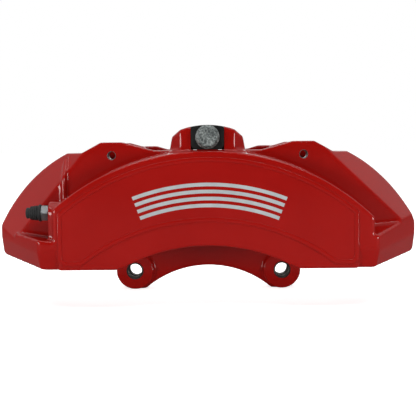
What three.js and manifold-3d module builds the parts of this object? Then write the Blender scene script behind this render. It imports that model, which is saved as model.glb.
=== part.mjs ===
// A six-piston fixed brake caliper: two halves bolted together over a disc, with a removable centre bridge.
// Millimetres. X runs along the disc's rim, Y from the wheel side (-) to the hub side (+), and Z up.
// Heights are measured from the disc's axle until the last line lifts the part onto its own base.
// A depth is a distance from the disc's middle plane, so both halves use the same depths.
import * as THREE from "three";
import { mergeVertices } from "three/addons/utils/BufferGeometryUtils.js";
import Module from "manifold-3d";

const wasm = await Module();
wasm.setup();

// Overall sizes and the disc
const halfLength = 178;
const halfDepth = 72;
const discRadius = 190;
const discThickness = 34;
const rimClearance = 5;
const sideClearance = 4;
const padThickness = 19;
const gap = 0.3; // kept between pieces that touch
const past = 1; // how far a cut runs past the surface it opens
const beyond = 30; // and how far a tool that trims a whole side reaches

// Walls and outlines
const wallThickness = 6;
const panelRise = 1;
const faceRadius = 192;
const faceCentre = 7.5;
const faceLeft = 125;
const faceRight = 134;
const footBottom = 103.8;
const archRadius = 145;
const archCentre = -22;
const archHalf = 64;
const archBlend = 10;
const shoulderHeight = 198.3;
const endRadius = 119;
const endInset = 109.5;
const endCentre = 90.5;
const rimLength = 140;
const footInner = faceLeft - 10;
const footKnee = 6; // the foot's lower edge starts to rise this far before the sweep
const toeRise = 7;
const toeTip = 2.5;
const toeLean = 7;
const toeCrease = 118;
const creaseRise = 3.6;
const creaseTilt = 11;
const sweptTilt = 8;
const sweepStart = halfLength - 41;
const sweepDepth = 23; // depth left at the end of each foot
const ribWidth = 3.6;
const ribRise = 4;
const ribX = 118;
const ribFoot = 130;

// The raised panel, inside the face
const panelEdge = 4;
const panelTop = 5.2;
const panelArchRise = 22.5;
const panelArchDrop = 3;
const panelBase = 3.9;
const panelCorner = 5;
const panelBevel = 2.2;

// Each end slopes back outside a line, from one point (X, Z) to another, losing depth in each millimetre.
// Its foot has a ledge: heights at the inner and outer ends, and the fall towards the front.
const hands = [
  {
    word: "left",
    sign: -1,
    rim: { from: [-121.4, 176.6], to: [-156.4, 133.3], slope: 1 },
    ledge: { inner: 126, outer: 134.3, fall: 0 },
  },
  {
    word: "right",
    sign: 1,
    rim: { from: [118, 182.5], to: [163.9, 139.1], slope: 1.375 },
    ledge: { inner: 134, outer: 140.5, fall: 5.8 },
  },
];

// Pistons, from the left; every bore takes its size from its piston
const pistonRadii = [17, 18, 20];
const pistonWall = 4;
const pistonProud = 1.5;
const boreWall = 13; // metal between neighbouring bores
const boreCircle = 160;
const boreFloor = 7;
const crownTaper = 4; // each cylinder's end is narrower than its root
const fluidSpace = 6;
const bootDepth = 3.5;
const bootHeight = 4;
const sealWidth = 3;
const sealHeight = 2.8;
const crossoverRadius = 5.6; // of the groove round each fluid crossing
const crossoverGroove = 2.1; // and its depth
const crossoverRing = 4.2; // the round seal in it, to the middle of its cord
const crossoverCord = 0.85;

// Lugs, pad pins and abutments
const windowHalf = halfLength - 74;
const lugX = windowHalf - 24;
const lugTop = 207;
const lugHalf = 9;
const lugRun = 26;
const lugInner = 200;
const shelfStep = 5; // the hub side's shelf between lug and boss
const shelfRun = 24;
const shelfDrop = 3;
const lugFlank = 14;
const lugLip = 4;
const lugOverhang = 5;
const pinDrop = 11;
const pinHoleRadius = 3.1;
const abutmentThickness = 1.2;
const abutmentHeight = 44;
const abutmentScrewRadius = 2;
const abutmentScrewReach = 8;
const abutmentHeadRadius = 3.8;
const abutmentHeadHeight = 1.6;
const abutmentFoot = 22;

// Centre bridge and its bolts
const bridgeHalf = 13.3;
const bridgeFlange = 4.3;
const bridgeLeg = 7;
const bridgeDepth = 61;
const bridgeWeb = 3.2;
const bridgeSole = 200.4;
const bridgeBarSole = 203;
const bridgeBoltHeight = 210.5;
const bridgeBoltRadius = 5;
const bridgeBoltLength = 30;
const bridgeFlangeWidth = 1.95; // the bolt's flange radius over its own radius
const flangeThickness = 3;
const bridgeHeadHeight = 6.2;
const bridgeHexAcross = 15;
const bridgeCorner = 4.5;
const bossCheek = 15.7;
const bossTop = 220.5;
const bossCrown = 65; // radius of the boss's rounded top
const bossShoulder = 9.5;
const bossSpread = 3.4;
const bossFacet = 7;
const bossInner = 28;
const bossRoot = 6; // how deep the boss starts below the top of the face

// Bleed screws
const bleedHeight = 149.6;
const bleedDepth = 55;
const bleedRadius = 5;
const bleedBossRadius = 9.5;
const bleedBossReach = 5;
const bleedHexAcross = 12;
const bleedHexLength = 6;
const bleedNippleRadius = 3.2;
const bleedBarb = 0.7;
const bleedBoreRadius = 1;
const bleedStem = 15; // length inside the boss, before the pointed end
const bleedPoint = 3;
const capLength = 12.5;
const capTipRadius = 4.2;
const capBaseRadius = 7;
const capWall = 1.5; // at its closed end
const capRibs = [0.3, 0.5, 0.7]; // places along its length
const capRibRise = 0.6;
const capRibHalf = 0.7;
const galleryRadius = 2;

// Body bolts, mounting ears and the hose inlet
const bodyBoltRadius = 6;
const bodyBoltInset = 19;
const bodyBoltAngles = [36, 60];
const bodyBoltEngagement = 28;
const bodyHeadHeight = 12;
const bodyFlangeRadius = 9.6;
const bodyHexAcross = 15;
const earX = 69;
const earHeight = 87.3;
const earHoleRadius = 7;
const earWall = 10.5;
const earFront = 38;
const earThickness = 24;
const webRadius = 91.5;
const webInset = 4; // the web's faces lie this far inside the ears and the back
const webSpread = 9;
const webHeight = 25;
const backDepth = 60;
const backRight = 118;
const backSweepStart = 108;
const backSweepDepth = 34;
const inletX = 98;
const inletHeight = 146;
const inletRadius = 5;
const inletBossRadius = 12;
const inletDepth = 66;

// Sizes that follow from the ones above
const faceDepth = halfDepth - panelRise;
const channelHalf = discThickness / 2 + sideClearance;
const channelRadius = discRadius + rimClearance;
const innerDepth = discThickness / 2 + padThickness;
const outerDepth = innerDepth + wallThickness;
const boreDepth = faceDepth - boreFloor;
const faceTop = faceCentre + faceRadius;
const crownCentre = bossTop - bossCrown;
const bootReach = bootHeight + gap;
const bridgeTop = bridgeBoltHeight + bridgeBoltRadius + 0.5 + bridgeWeb;
const bossHalf = bridgeHalf + bossCheek;
const earRadius = earHoleRadius + earWall;
const pistonXs = [-1, 0, 1].map((i) => i * (pistonRadii[1] + boreWall + pistonRadii[i < 0 ? 0 : 2]));
const pistons = pistonXs.map((x, i) => {
  const z = Math.sqrt(boreCircle ** 2 - x ** 2);
  return { x, z, radius: pistonRadii[i] };
});
const endCentreX = halfLength - endInset;
const bodySeat = outerDepth - bodyHeadHeight;
const sides = [
  { word: "outboard", sign: -1 },
  { word: "inboard", sign: 1 },
];

// ---- Making and joining solids ----

function solid(geometry) {
  geometry.deleteAttribute("normal");
  geometry.deleteAttribute("uv");
  const merged = mergeVertices(geometry, 1e-4);
  return new wasm.Manifold(
    new wasm.Mesh({
      numProp: 3,
      vertProperties: merged.attributes.position.array,
      triVerts: new Uint32Array(merged.index.array),
    }),
  );
}

const degrees = (radians) => THREE.MathUtils.radToDeg(radians);
const joined = (...solids) => solids.reduce((a, b) => a.add(b));
const cut = (body, ...tools) => tools.reduce((a, b) => a.subtract(b), body);
const shapeOf = (points) => new THREE.Shape(points.map(([x, y]) => new THREE.Vector2(x, y)));

// Points on a circle from one angle to another, in degrees
function arc(x, y, radius, from, to, steps) {
  return Array.from({ length: steps + 1 }, (_, i) => {
    const angle = THREE.MathUtils.degToRad(from + ((to - from) * i) / steps);
    return [x + radius * Math.cos(angle), y + radius * Math.sin(angle)];
  });
}

// A front-view outline (X, Z) with thickness from one Y to another
function plateY(points, from, to) {
  const depth = Math.abs(to - from);
  const geometry = new THREE.ExtrudeGeometry(shapeOf(points), { depth, bevelEnabled: false });
  geometry.rotateX(Math.PI / 2);
  geometry.translate(0, Math.max(from, to), 0);
  return solid(geometry);
}

// A plan-view outline (X, Y) with thickness from one Z to another
function slabZ(points, from, to) {
  const geometry = new THREE.ExtrudeGeometry(shapeOf(points), { depth: to - from, bevelEnabled: false });
  geometry.translate(0, 0, from);
  return solid(geometry);
}

function box(x0, x1, y0, y1, z0, z1) {
  const geometry = new THREE.BoxGeometry(Math.abs(x1 - x0), Math.abs(y1 - y0), Math.abs(z1 - z0));
  geometry.translate((x0 + x1) / 2, (y0 + y1) / 2, (z0 + z1) / 2);
  return solid(geometry);
}

function rodY(radius, x, z, from, to, sidesRound = 24, endRadiusY = radius) {
  const low = from < to ? radius : endRadiusY;
  const high = from < to ? endRadiusY : radius;
  const geometry = new THREE.CylinderGeometry(high, low, Math.abs(to - from), sidesRound);
  geometry.translate(x, (from + to) / 2, z);
  return solid(geometry);
}

// The same along X; the radius is the one at the higher X
function rodX(radius, y, z, from, to, sidesRound = 16, lowRadius = radius) {
  const geometry = new THREE.CylinderGeometry(radius, lowRadius, Math.abs(to - from), sidesRound);
  geometry.rotateZ(-Math.PI / 2);
  geometry.translate((from + to) / 2, y, z);
  return solid(geometry);
}

// A ring turned about Y, from its section's points (radius, Y)
function ringY(points, x, z, sidesRound = 24) {
  const area = points.reduce((sum, [r, y], i) => {
    const [nextR, nextY] = points[(i + 1) % points.length];
    return sum + r * nextY - nextR * y;
  }, 0);
  const ordered = area > 0 ? points : points.toReversed();
  const closed = [...ordered, ordered[0]].map(([r, y]) => new THREE.Vector2(r, y));
  const geometry = new THREE.LatheGeometry(closed, sidesRound);
  geometry.translate(x, 0, z);
  return solid(geometry);
}

// A section (u, v) of some length, with u and v laid along two directions and its middle at a place
function bar(section, length, u, v, place) {
  const geometry = new THREE.ExtrudeGeometry(shapeOf(section), { depth: length, bevelEnabled: false });
  geometry.translate(0, 0, -length / 2);
  geometry.applyMatrix4(new THREE.Matrix4().makeBasis(u, v, u.clone().cross(v)));
  geometry.translate(place.x, place.y, place.z);
  return solid(geometry);
}

const hexRadius = (across) => across / Math.sqrt(3);

// ---- Outlines shared by the halves ----

// The lower edge over the arch, from left to right
function lowerEdge(left, right) {
  const reach = degrees(Math.acos(archHalf / archRadius));
  return [
    [-left, footBottom],
    [-archHalf - archBlend, footBottom],
    ...arc(0, archCentre, archRadius, 180 - reach, reach, 14),
    [archHalf + archBlend, footBottom],
    [right, footBottom],
  ];
}

// A block under a round top, with the arch below
function archBlock(left, right) {
  const start = degrees(Math.acos(right / faceRadius));
  const end = degrees(Math.acos(-left / faceRadius));
  return [...lowerEdge(left, right), ...arc(0, faceCentre, faceRadius, start, end, 18)];
}

const mirrored = (points) => points.map(([x, z]) => [-x, z]).toReversed();
const forHand = (points, hand) => (hand.sign > 0 ? points : mirrored(points));

// The lower outer corner of a foot, from its knee to its tip
const toe = [
  [sweepStart - footKnee, footBottom],
  [halfLength - toeTip, footBottom + toeRise],
  [halfLength, footBottom + toeRise + toeTip],
];

// The tall inner wall with its two lugs; the shelf is the height between lug and boss
function wallOutline(shelf) {
  const crest = [
    [windowHalf + 1, shoulderHeight],
    [lugX + lugHalf, lugTop],
    [lugX - lugHalf, lugTop],
    ...shelf,
  ];
  return [...lowerEdge(windowHalf + 1, windowHalf + 1), ...crest, ...mirrored(crest)];
}

// One end of the body, from the window to the toe, for either hand
function endOutline(hand) {
  const low = degrees(Math.acos(endInset / endRadius));
  const high = degrees(Math.asin((shoulderHeight - endCentre) / endRadius));
  const points = [
    [windowHalf, footBottom],
    ...toe,
    ...arc(endCentreX, endCentre, endRadius, low, high, 14),
    [windowHalf, shoulderHeight],
  ];
  return forHand(points, hand);
}

// The plan outline that sweeps each foot back towards the disc's plane
function sweepPlan(sign, depth, start, end) {
  const half = [
    [start, sign * depth],
    [halfLength, sign * end],
    [halfLength, 0],
  ];
  return sign > 0 ? [...half.toReversed(), ...mirrored(half).toReversed()] : [...mirrored(half), ...half];
}

// ---- Features shared by the halves ----

// The thicker metal around each pad-pin hole
function pinLugs(sign) {
  const outside = lugX + lugHalf + 2 * lugLip;
  const inside = lugX - lugHalf - lugFlank;
  const crest = [
    [outside, lugTop - lugLip],
    [lugX + lugHalf, lugTop],
    [lugX - lugHalf, lugTop],
    [inside, lugTop - lugLip],
    [inside, lugTop - lugFlank],
    [outside, lugTop - lugFlank],
  ];
  const depths = [sign * (innerDepth - lugOverhang), sign * (innerDepth + 1)];
  return hands.map((hand) => plateY(forHand(crest, hand), ...depths));
}

const depthways = (sign) => new THREE.Vector3(0, sign, 0);

// What a sloping end loses
function rimWaste(sign, hand) {
  const { from, to, slope } = hand.rim;
  const run = new THREE.Vector3(to[0] - from[0], 0, to[1] - from[1]).normalize();
  const outward = new THREE.Vector3(-hand.sign * run.z, 0, hand.sign * run.x);
  const middle = new THREE.Vector3((from[0] + to[0]) / 2, 0, (from[1] + to[1]) / 2);
  const section = [
    [-1 / slope, outerDepth + 1],
    [beyond, outerDepth - slope * beyond],
    [beyond, outerDepth + 1],
  ];
  return bar(section, rimLength, outward, depthways(sign), middle);
}

// The outer wall with its lugs and the two ends that meet at the joint face, both sloping at the rims
function wallAndEnds(sign, shelf) {
  const wall = plateY(wallOutline(shelf), sign * innerDepth, sign * outerDepth);
  const ends = hands.map((hand) => plateY(endOutline(hand), (sign * gap) / 2, sign * outerDepth));
  return cut(joined(wall, ...ends), ...hands.map((hand) => rimWaste(sign, hand)));
}

// The boss that holds one end of the centre bridge, with a rounded top and a facet down each side
function bridgeBoss(sign) {
  const facet = bossHalf - bossFacet;
  const lean = degrees(Math.asin(facet / bossCrown));
  const front = plateY(
    [
      [-bossHalf - bossSpread, faceTop - bossRoot],
      [bossHalf + bossSpread, faceTop - bossRoot],
      [bossHalf, bossTop - bossShoulder],
      ...arc(0, crownCentre, bossCrown, 90 - lean, 90 + lean, 10),
      [-bossHalf, bossTop - bossShoulder],
    ],
    sign * bossInner,
    sign * (bridgeDepth - 1),
  );
  const corner = [
    [facet, bridgeDepth - 1],
    [facet + beyond, bridgeDepth - 1 - beyond],
    [facet + beyond, bridgeDepth - 1],
  ];
  const wedges = hands.map((hand) => {
    const across = new THREE.Vector3(hand.sign, 0, 0);
    return bar(corner, 2 * beyond, across, depthways(sign), new THREE.Vector3(0, 0, faceTop + beyond));
  });
  return cut(front, ...wedges);
}

// The metal round each bleed screw: a round top on a wall that stands on the foot
function bleedBoss(sign) {
  const x = [-faceLeft - bleedBossReach, -faceLeft + 12];
  const y = sign * bleedDepth;
  return joined(
    rodX(bleedBossRadius, y, bleedHeight, ...x, 24),
    box(...x, y - bleedBossRadius, y + bleedBossRadius, hands[0].ledge.inner, bleedHeight),
  );
}

// The slot for the bridge, with the tongue that its bolt threads into
function bridgeSlot(sign) {
  const slot = box(
    -bridgeHalf - gap,
    bridgeHalf + gap,
    sign * (bossInner - 1),
    sign * (bridgeDepth + 1),
    bridgeSole - gap,
    bossTop + 10,
  );
  const tongueHalf = bridgeHalf - bridgeFlange - gap;
  const tongue = box(
    -tongueHalf,
    tongueHalf,
    sign * (bossInner - 2),
    sign * (bridgeDepth - bridgeLeg - gap),
    bridgeSole - 2,
    bridgeTop - bridgeWeb - gap,
  );
  const flangeRadius = bridgeFlangeWidth * bridgeBoltRadius;
  const relief = box(
    -bridgeHalf - gap,
    bridgeHalf + gap,
    sign * (bridgeDepth - 1),
    sign * (faceDepth + 2),
    bridgeBoltHeight - flangeRadius - 2,
    bossTop + 10,
  );
  return joined(slot.subtract(tongue), relief);
}

// A stepped bore: the piston's bore, its seal groove and the boot's counterbore
function bore(sign, { x, z, radius }) {
  const boreRadius = radius + gap;
  const sealStart = innerDepth + bootDepth + 1;
  return joined(
    rodY(boreRadius, x, z, sign * (innerDepth - 1), sign * boreDepth),
    rodY(boreRadius + bootReach, x, z, sign * (innerDepth - 1), sign * (innerDepth + bootDepth)),
    rodY(boreRadius + sealHeight, x, z, sign * sealStart, sign * (sealStart + sealWidth)),
  );
}

const bodyBolts = hands.flatMap((hand) =>
  bodyBoltAngles.map((angle, i) => {
    const turn = THREE.MathUtils.degToRad(angle);
    const reach = endRadius - bodyBoltInset;
    return {
      name: `body_bolt_${hand.word}_${i + 1}`,
      x: hand.sign * (endCentreX + reach * Math.cos(turn)),
      z: endCentre + reach * Math.sin(turn),
    };
  }),
);

const crossovers = hands.map((hand) => {
  const [first, second] = bodyBolts.filter((bolt) => Math.sign(bolt.x) === hand.sign);
  return { word: hand.word, x: (first.x + second.x) / 2, z: (first.z + second.z) / 2 };
});

// Bores, pin holes, the bleed hole and the fluid gallery of one half
function drillings(sign) {
  const last = pistons[2];
  const galleryEnd = sign < 0 ? last.x : inletX;
  return joined(
    ...pistons.map((piston) => bore(sign, piston)),
    ...hands.map(({ sign: side }) =>
      rodY(pinHoleRadius, side * lugX, lugTop - pinDrop, sign * (bossInner - 4), sign * (outerDepth + 2), 20),
    ),
    rodX(bleedRadius + gap, sign * bleedDepth, bleedHeight, -faceLeft - bleedBossReach - 1, -faceLeft + 14),
    rodX(galleryRadius, sign * bleedDepth, bleedHeight, -faceLeft + 10, galleryEnd, 8),
    ...crossovers.map((hole) => rodY(galleryRadius, hole.x, hole.z, sign * -1, sign * (outerDepth - 10), 8)),
    ...abutments(sign).map((plate) => plate.screwHole),
    rodY(channelRadius, 0, 0, sign * -1, sign * channelHalf, 60),
  );
}

// ---- Pad abutment plates and their screws ----

function abutments(sign) {
  return hands.map((hand) => {
    const face = hand.sign * windowHalf;
    const middle = sign * (channelHalf + (innerDepth - channelHalf) / 2);
    const near = sign * (channelHalf + 1);
    const far = sign * (innerDepth - 1);
    const low = footBottom + abutmentFoot;
    const x0 = face - hand.sign * gap;
    const x1 = x0 - hand.sign * abutmentThickness;
    const screwZ = low + abutmentHeight / 2;
    const headX = x1 - hand.sign * (gap + abutmentHeadHeight);
    const radius = abutmentScrewRadius;
    const screwEnd = face + hand.sign * abutmentScrewReach;
    const holeEnd = screwEnd + hand.sign;
    const shank = rodX(radius, middle, screwZ, headX, screwEnd, 10);
    const head = rodX(abutmentHeadRadius, middle, screwZ, headX, x1 - hand.sign * gap, 14);
    const hole = rodX(radius + gap, middle, screwZ, x1 - hand.sign * 2, holeEnd, 10);
    return {
      hand: hand.word,
      plate: box(x0, x1, near, far, low, low + abutmentHeight).subtract(hole),
      screw: shank.add(head),
      screwHole: hole,
    };
  });
}

// ---- The two halves ----

function panelSolid() {
  const half = faceLeft - panelEdge;
  const topRadius = faceRadius - panelTop;
  const sideTop = degrees(Math.acos(half / topRadius));
  const archTop = archRadius + panelArchRise;
  const archMid = archCentre - panelArchDrop;
  const base = footBottom + panelBase;
  const reach = degrees(Math.asin((base - archMid) / archTop));
  const points = [
    [-half, base + panelCorner],
    [-half + panelCorner, base],
    ...arc(0, archMid, archTop, 180 - reach, reach, 14),
    [half - panelCorner, base],
    [half, base + panelCorner],
    ...arc(0, faceCentre, topRadius, sideTop, 180 - sideTop, 16),
  ];
  const geometry = new THREE.ExtrudeGeometry(shapeOf(points), {
    depth: 1,
    bevelThickness: panelRise,
    bevelSize: panelBevel,
    bevelOffset: -panelBevel,
    bevelSegments: 1,
  });
  geometry.rotateX(Math.PI / 2);
  geometry.translate(0, -faceDepth + 1, 0);
  return solid(geometry);
}

// The foot at each end of the outboard face, with a ledge on top
function foot(sign, hand) {
  const { inner, outer, fall } = hand.ledge;
  const points = [[footInner, footBottom], ...toe, [halfLength, outer], [footInner, inner]];
  const whole = plateY(forHand(points, hand), sign * (outerDepth - 1), sign * faceDepth);
  if (!fall) return whole;
  const angle = Math.atan2(outer - inner, halfLength - footInner);
  const up = new THREE.Vector3(-hand.sign * Math.sin(angle), 0, Math.cos(angle));
  const middle = new THREE.Vector3((hand.sign * (halfLength + footInner)) / 2, 0, (inner + outer) / 2);
  const waste = [
    [outerDepth, 0],
    [faceDepth + 1, -fall],
    [faceDepth + 1, 1],
    [outerDepth, 1],
  ];
  return whole.subtract(bar(waste, halfLength, depthways(sign), up, middle));
}

// Below a crease each foot leans back towards its lower edge: first along the face, then along the sweep
function toeWaste(sign, hand) {
  const drop = toeCrease - footBottom + 10;
  const section = [
    [1, 0],
    [0, 0],
    [-toeLean, -drop],
    [1, -drop],
  ];
  const lengthOf = (from, to) => Math.hypot(to[0] - from[0], to[1] - from[1]);
  const strip = (from, to, height, tilt) => {
    const length = lengthOf(from, to);
    const run = new THREE.Vector3(hand.sign * (to[0] - from[0]), sign * (to[1] - from[1]), 0).normalize();
    const outward = new THREE.Vector3(-sign * hand.sign * run.y, sign * hand.sign * run.x, 0);
    const turn = THREE.MathUtils.degToRad(tilt);
    const up = new THREE.Vector3(0, 0, Math.cos(turn)).addScaledVector(run, -Math.sin(turn));
    const middle = new THREE.Vector3((hand.sign * (from[0] + to[0])) / 2, (sign * (from[1] + to[1])) / 2, 0);
    middle.z = height + (length / 2) * Math.tan(turn);
    return bar(section, 2 * length, outward, up, middle);
  };
  const start = [faceLeft - panelEdge, faceDepth];
  const knee = [sweepStart, faceDepth];
  const end = [halfLength, sweepDepth];
  const front = sign * (faceDepth + beyond);
  const within = (low, high) => box(hand.sign * low, hand.sign * high, 0, front, 0, faceTop);
  return [
    strip(start, knee, toeCrease + creaseRise, -creaseTilt).intersect(within(start[0], knee[0] + gap)),
    strip(knee, end, toeCrease, sweptTilt).intersect(within(knee[0], halfLength + 5)),
  ];
}

// A casting rib on the outer wall, which dies out over the sloping rim
function rib(sign) {
  const proud = new THREE.Vector3(0, sign * ribRise, 0);
  const waste = rimWaste(sign, hands[0]).translate([proud.x, proud.y, proud.z]);
  const depths = [sign * innerDepth, sign * (outerDepth + ribRise)];
  return box(-ribX - ribWidth, -ribX, ...depths, ribFoot, shoulderHeight).subtract(waste);
}

function outboardHalf() {
  const sign = -1;
  const shelf = [[lugX - lugHalf - lugRun, lugInner]];
  const body = joined(
    plateY(archBlock(faceLeft, faceRight), sign * innerDepth, sign * faceDepth),
    wallAndEnds(sign, shelf),
    ...pinLugs(sign),
    ...hands.map((hand) => foot(sign, hand)),
    rib(sign),
    bridgeBoss(sign),
    bleedBoss(sign),
  );
  const plan = slabZ(sweepPlan(sign, faceDepth, sweepStart, sweepDepth), 0, bossTop + beyond);
  const blindHoles = bodyBolts.map((bolt) =>
    rodY(bodyBoltRadius + gap, bolt.x, bolt.z, 1, sign * (bodyBoltEngagement + gap), 16),
  );
  return cut(
    body.intersect(plan),
    bridgeSlot(sign),
    drillings(sign),
    ...blindHoles,
    rodY(bridgeBoltRadius + gap, 0, bridgeBoltHeight, sign * (bossInner - 4), sign * bridgeDepth, 24),
    ...hands.flatMap((hand) => toeWaste(sign, hand)),
  ).add(panelSolid());
}

function inboardHalf() {
  const sign = 1;
  const shelf = [
    [lugX - lugHalf - shelfStep, lugTop - shelfDrop],
    [lugX - lugHalf - shelfRun, lugTop - shelfDrop],
    [lugX - lugHalf - shelfRun - 2 * shelfStep, lugTop - 2 * shelfDrop],
  ];
  const webPoints = [
    [-earX, earHeight - earRadius],
    [earX, earHeight - earRadius],
    [earX + earRadius, earHeight],
    [earX + earRadius + webSpread, footBottom + webHeight],
    [-earX - earRadius - webSpread, footBottom + webHeight],
    [-earX - earRadius, earHeight],
  ];
  const cylinders = pistons.map(({ x, z, radius }) => {
    const outer = radius + boreWall / 2;
    return rodY(outer, x, z, sign * (backDepth - webInset), sign * halfDepth, 28, outer - crownTaper);
  });
  const ears = hands.map((hand) =>
    rodY(earRadius, hand.sign * earX, earHeight, sign * earFront, sign * (earFront + earThickness), 28),
  );
  const body = joined(
    plateY(archBlock(faceLeft, backRight), sign * innerDepth, sign * backDepth),
    wallAndEnds(sign, shelf),
    ...pinLugs(sign),
    bridgeBoss(sign),
    plateY(webPoints, sign * (earFront + webInset), sign * (backDepth - webInset)),
  );
  const plan = slabZ(sweepPlan(sign, backDepth, backSweepStart, backSweepDepth), 0, bossTop + beyond);
  const swept = joined(
    body.intersect(plan),
    ...ears,
    ...cylinders,
    bleedBoss(sign),
    rodY(inletBossRadius, inletX, inletHeight, sign * (outerDepth - 2), sign * inletDepth),
  );
  const bolts = bodyBolts.flatMap((bolt) => [
    rodY(bodyBoltRadius + gap, bolt.x, bolt.z, -1, sign * (outerDepth + 1), 16),
    rodY(bodyFlangeRadius + 1, bolt.x, bolt.z, sign * bodySeat, sign * (halfDepth + past), 20),
  ]);
  const open = sign * (halfDepth + past);
  const grooves = crossovers.map((hole) => rodY(crossoverRadius, hole.x, hole.z, -past, crossoverGroove, 20));
  return cut(
    swept,
    rodY(webRadius, 0, 0, 0, sign * (halfDepth + past), 60),
    bridgeSlot(sign),
    drillings(sign),
    ...bolts,
    ...grooves,
    ...hands.map((hand) => rodY(earHoleRadius, hand.sign * earX, earHeight, 0, open, 28)),
    rodY(inletRadius, inletX, inletHeight, sign * (bleedDepth - galleryRadius), open, 20),
    rodY(bridgeBoltRadius + gap, 0, bridgeBoltHeight, sign * (bossInner - 4), sign * bridgeDepth, 24),
  );
}

// ---- Pieces held by the halves ----

// A cup, open towards the pad
function pistonSolid(sign, { x, z, radius }) {
  const crown = innerDepth - pistonProud;
  const back = boreDepth - fluidSpace;
  return cut(
    rodY(radius, x, z, sign * crown, sign * back),
    rodY(radius - pistonWall, x, z, sign * (crown - 1), sign * (back - pistonWall)),
  );
}

// Each seal keeps a gap to its groove and to the piston
function pistonSeal(sign, { x, z, radius }) {
  const start = innerDepth + bootDepth + 1 + gap;
  const end = start + sealWidth - 2 * gap;
  const inner = radius + gap;
  const outer = radius + sealHeight;
  const ends = [sign * start, sign * end];
  return ringY([[inner, ends[0]], [outer, ends[0]], [outer, ends[1]], [inner, ends[1]]], x, z);
}

// A wiper ring with a raised lip around the piston
function dustBoot(sign, { x, z, radius }) {
  const outer = radius + bootReach;
  const inner = radius + gap;
  const floor = innerDepth + bootDepth - gap;
  const lip = innerDepth - pistonProud + gap;
  return ringY(
    [
      [inner, sign * floor],
      [outer, sign * floor],
      [outer, sign * innerDepth],
      [inner, sign * lip],
    ],
    x,
    z,
  );
}

// A steel channel across the window, with a leg down in front of each boss
function centreBridge() {
  const crown = bossCrown - gap;
  const lean = degrees(Math.asin(bridgeHalf / crown));
  const outline = [
    [-bridgeHalf, bridgeSole],
    [bridgeHalf, bridgeSole],
    ...arc(0, crownCentre, crown, 90 - lean, 90 + lean, 6),
  ];
  const whole = plateY(outline, -bridgeDepth, bridgeDepth);
  const reach = bossInner - 2 * gap;
  const belly = box(-bridgeHalf - 1, bridgeHalf + 1, -reach, reach, bridgeSole - 1, bridgeBarSole);
  const inner = bridgeHalf - bridgeFlange;
  const corner = [
    [bridgeHalf - bridgeCorner, bridgeSole - 1],
    [bridgeHalf + 1, bridgeSole - 1],
    [bridgeHalf + 1, bridgeSole + bridgeCorner],
    ...arc(bridgeHalf - bridgeCorner, bridgeSole + bridgeCorner, bridgeCorner, 0, -90, 4),
  ];
  const ends = sides.flatMap(({ sign }) => {
    const leg = sign * (bridgeDepth - bridgeLeg);
    return [
      box(-inner, inner, sign * reach, leg, bridgeSole - 1, bridgeTop - bridgeWeb),
      rodY(bridgeBoltRadius + gap, 0, bridgeBoltHeight, sign * reach, sign * (bridgeDepth + 1), 24),
      ...hands.map((hand) => plateY(forHand(corner, hand), leg, sign * (bridgeDepth + 1))),
    ];
  });
  return cut(whole, belly, ...ends);
}

// A flanged hexagon bolt through a bridge leg
function bridgeBolt(sign) {
  const seat = bridgeDepth + gap;
  const z = bridgeBoltHeight;
  const flangeRadius = bridgeFlangeWidth * bridgeBoltRadius;
  const headEnd = seat + flangeThickness + bridgeHeadHeight;
  return joined(
    rodY(bridgeBoltRadius, 0, z, sign * (seat - bridgeBoltLength), sign * (seat + 1), 24),
    rodY(flangeRadius, 0, z, sign * seat, sign * (seat + flangeThickness), 24, flangeRadius - 1),
    rodY(hexRadius(bridgeHexAcross), 0, z, sign * (seat + 1), sign * headEnd, 6),
  );
}

// A flanged hexagon bolt from the hub side into the outboard half
function bodyBolt({ x, z }) {
  const seat = bodySeat + gap;
  const flange = bodyHeadHeight / 3;
  return joined(
    rodY(bodyBoltRadius, x, z, -bodyBoltEngagement, seat + 1, 16),
    rodY(bodyFlangeRadius, x, z, seat, seat + flange, 20),
    rodY(hexRadius(bodyHexAcross), x, z, seat + 1, seat + bodyHeadHeight, 6),
  );
}

// A hollow screw with a cross-drilled stem and a barbed nipple
function bleedScrew(sign) {
  const y = sign * bleedDepth;
  const z = bleedHeight;
  const face = -faceLeft - bleedBossReach - gap;
  const hexEnd = face - bleedHexLength;
  const tip = hexEnd - capLength + capWall;
  const stemEnd = face + gap + bleedStem;
  return cut(
    joined(
      rodX(bleedRadius, y, z, face - 1, stemEnd, 16),
      rodX(bleedPoint / 2, y, z, stemEnd, stemEnd + bleedPoint, 16, bleedRadius),
      rodX(hexRadius(bleedHexAcross), y, z, hexEnd, face, 6),
      rodX(bleedNippleRadius, y, z, tip, hexEnd + 1, 16),
      rodX(bleedNippleRadius + bleedBarb, y, z, tip + 2.5, tip + 4.5, 16),
    ),
    rodX(bleedBoreRadius, y, z, tip - past, stemEnd - bleedRadius, 8),
  );
}

// A rubber cap with a bore that clears the nipple and its barb
function bleedCap(sign) {
  const y = sign * bleedDepth;
  const z = bleedHeight;
  const hexEnd = -faceLeft - bleedBossReach - gap - bleedHexLength;
  const base = hexEnd - gap;
  const tip = base - capLength;
  const rib = (share) => {
    const x = tip + share * capLength;
    const radius = capTipRadius + share * (capBaseRadius - capTipRadius) + capRibRise;
    return rodX(radius, y, z, x - capRibHalf, x + capRibHalf);
  };
  return cut(
    joined(
      rodX(capBaseRadius, y, z, tip, base, 16, capTipRadius),
      ...capRibs.map(rib),
    ),
    rodX(bleedNippleRadius + bleedBarb + gap, y, z, tip + capWall, base + past, 12),
  );
}

function crossoverSeal({ x, z }) {
  const section = arc(crossoverRing, crossoverGroove / 2, crossoverCord, 0, 300, 5);
  return ringY(section, x, z, 16);
}

// ---- Finishes ----

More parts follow.
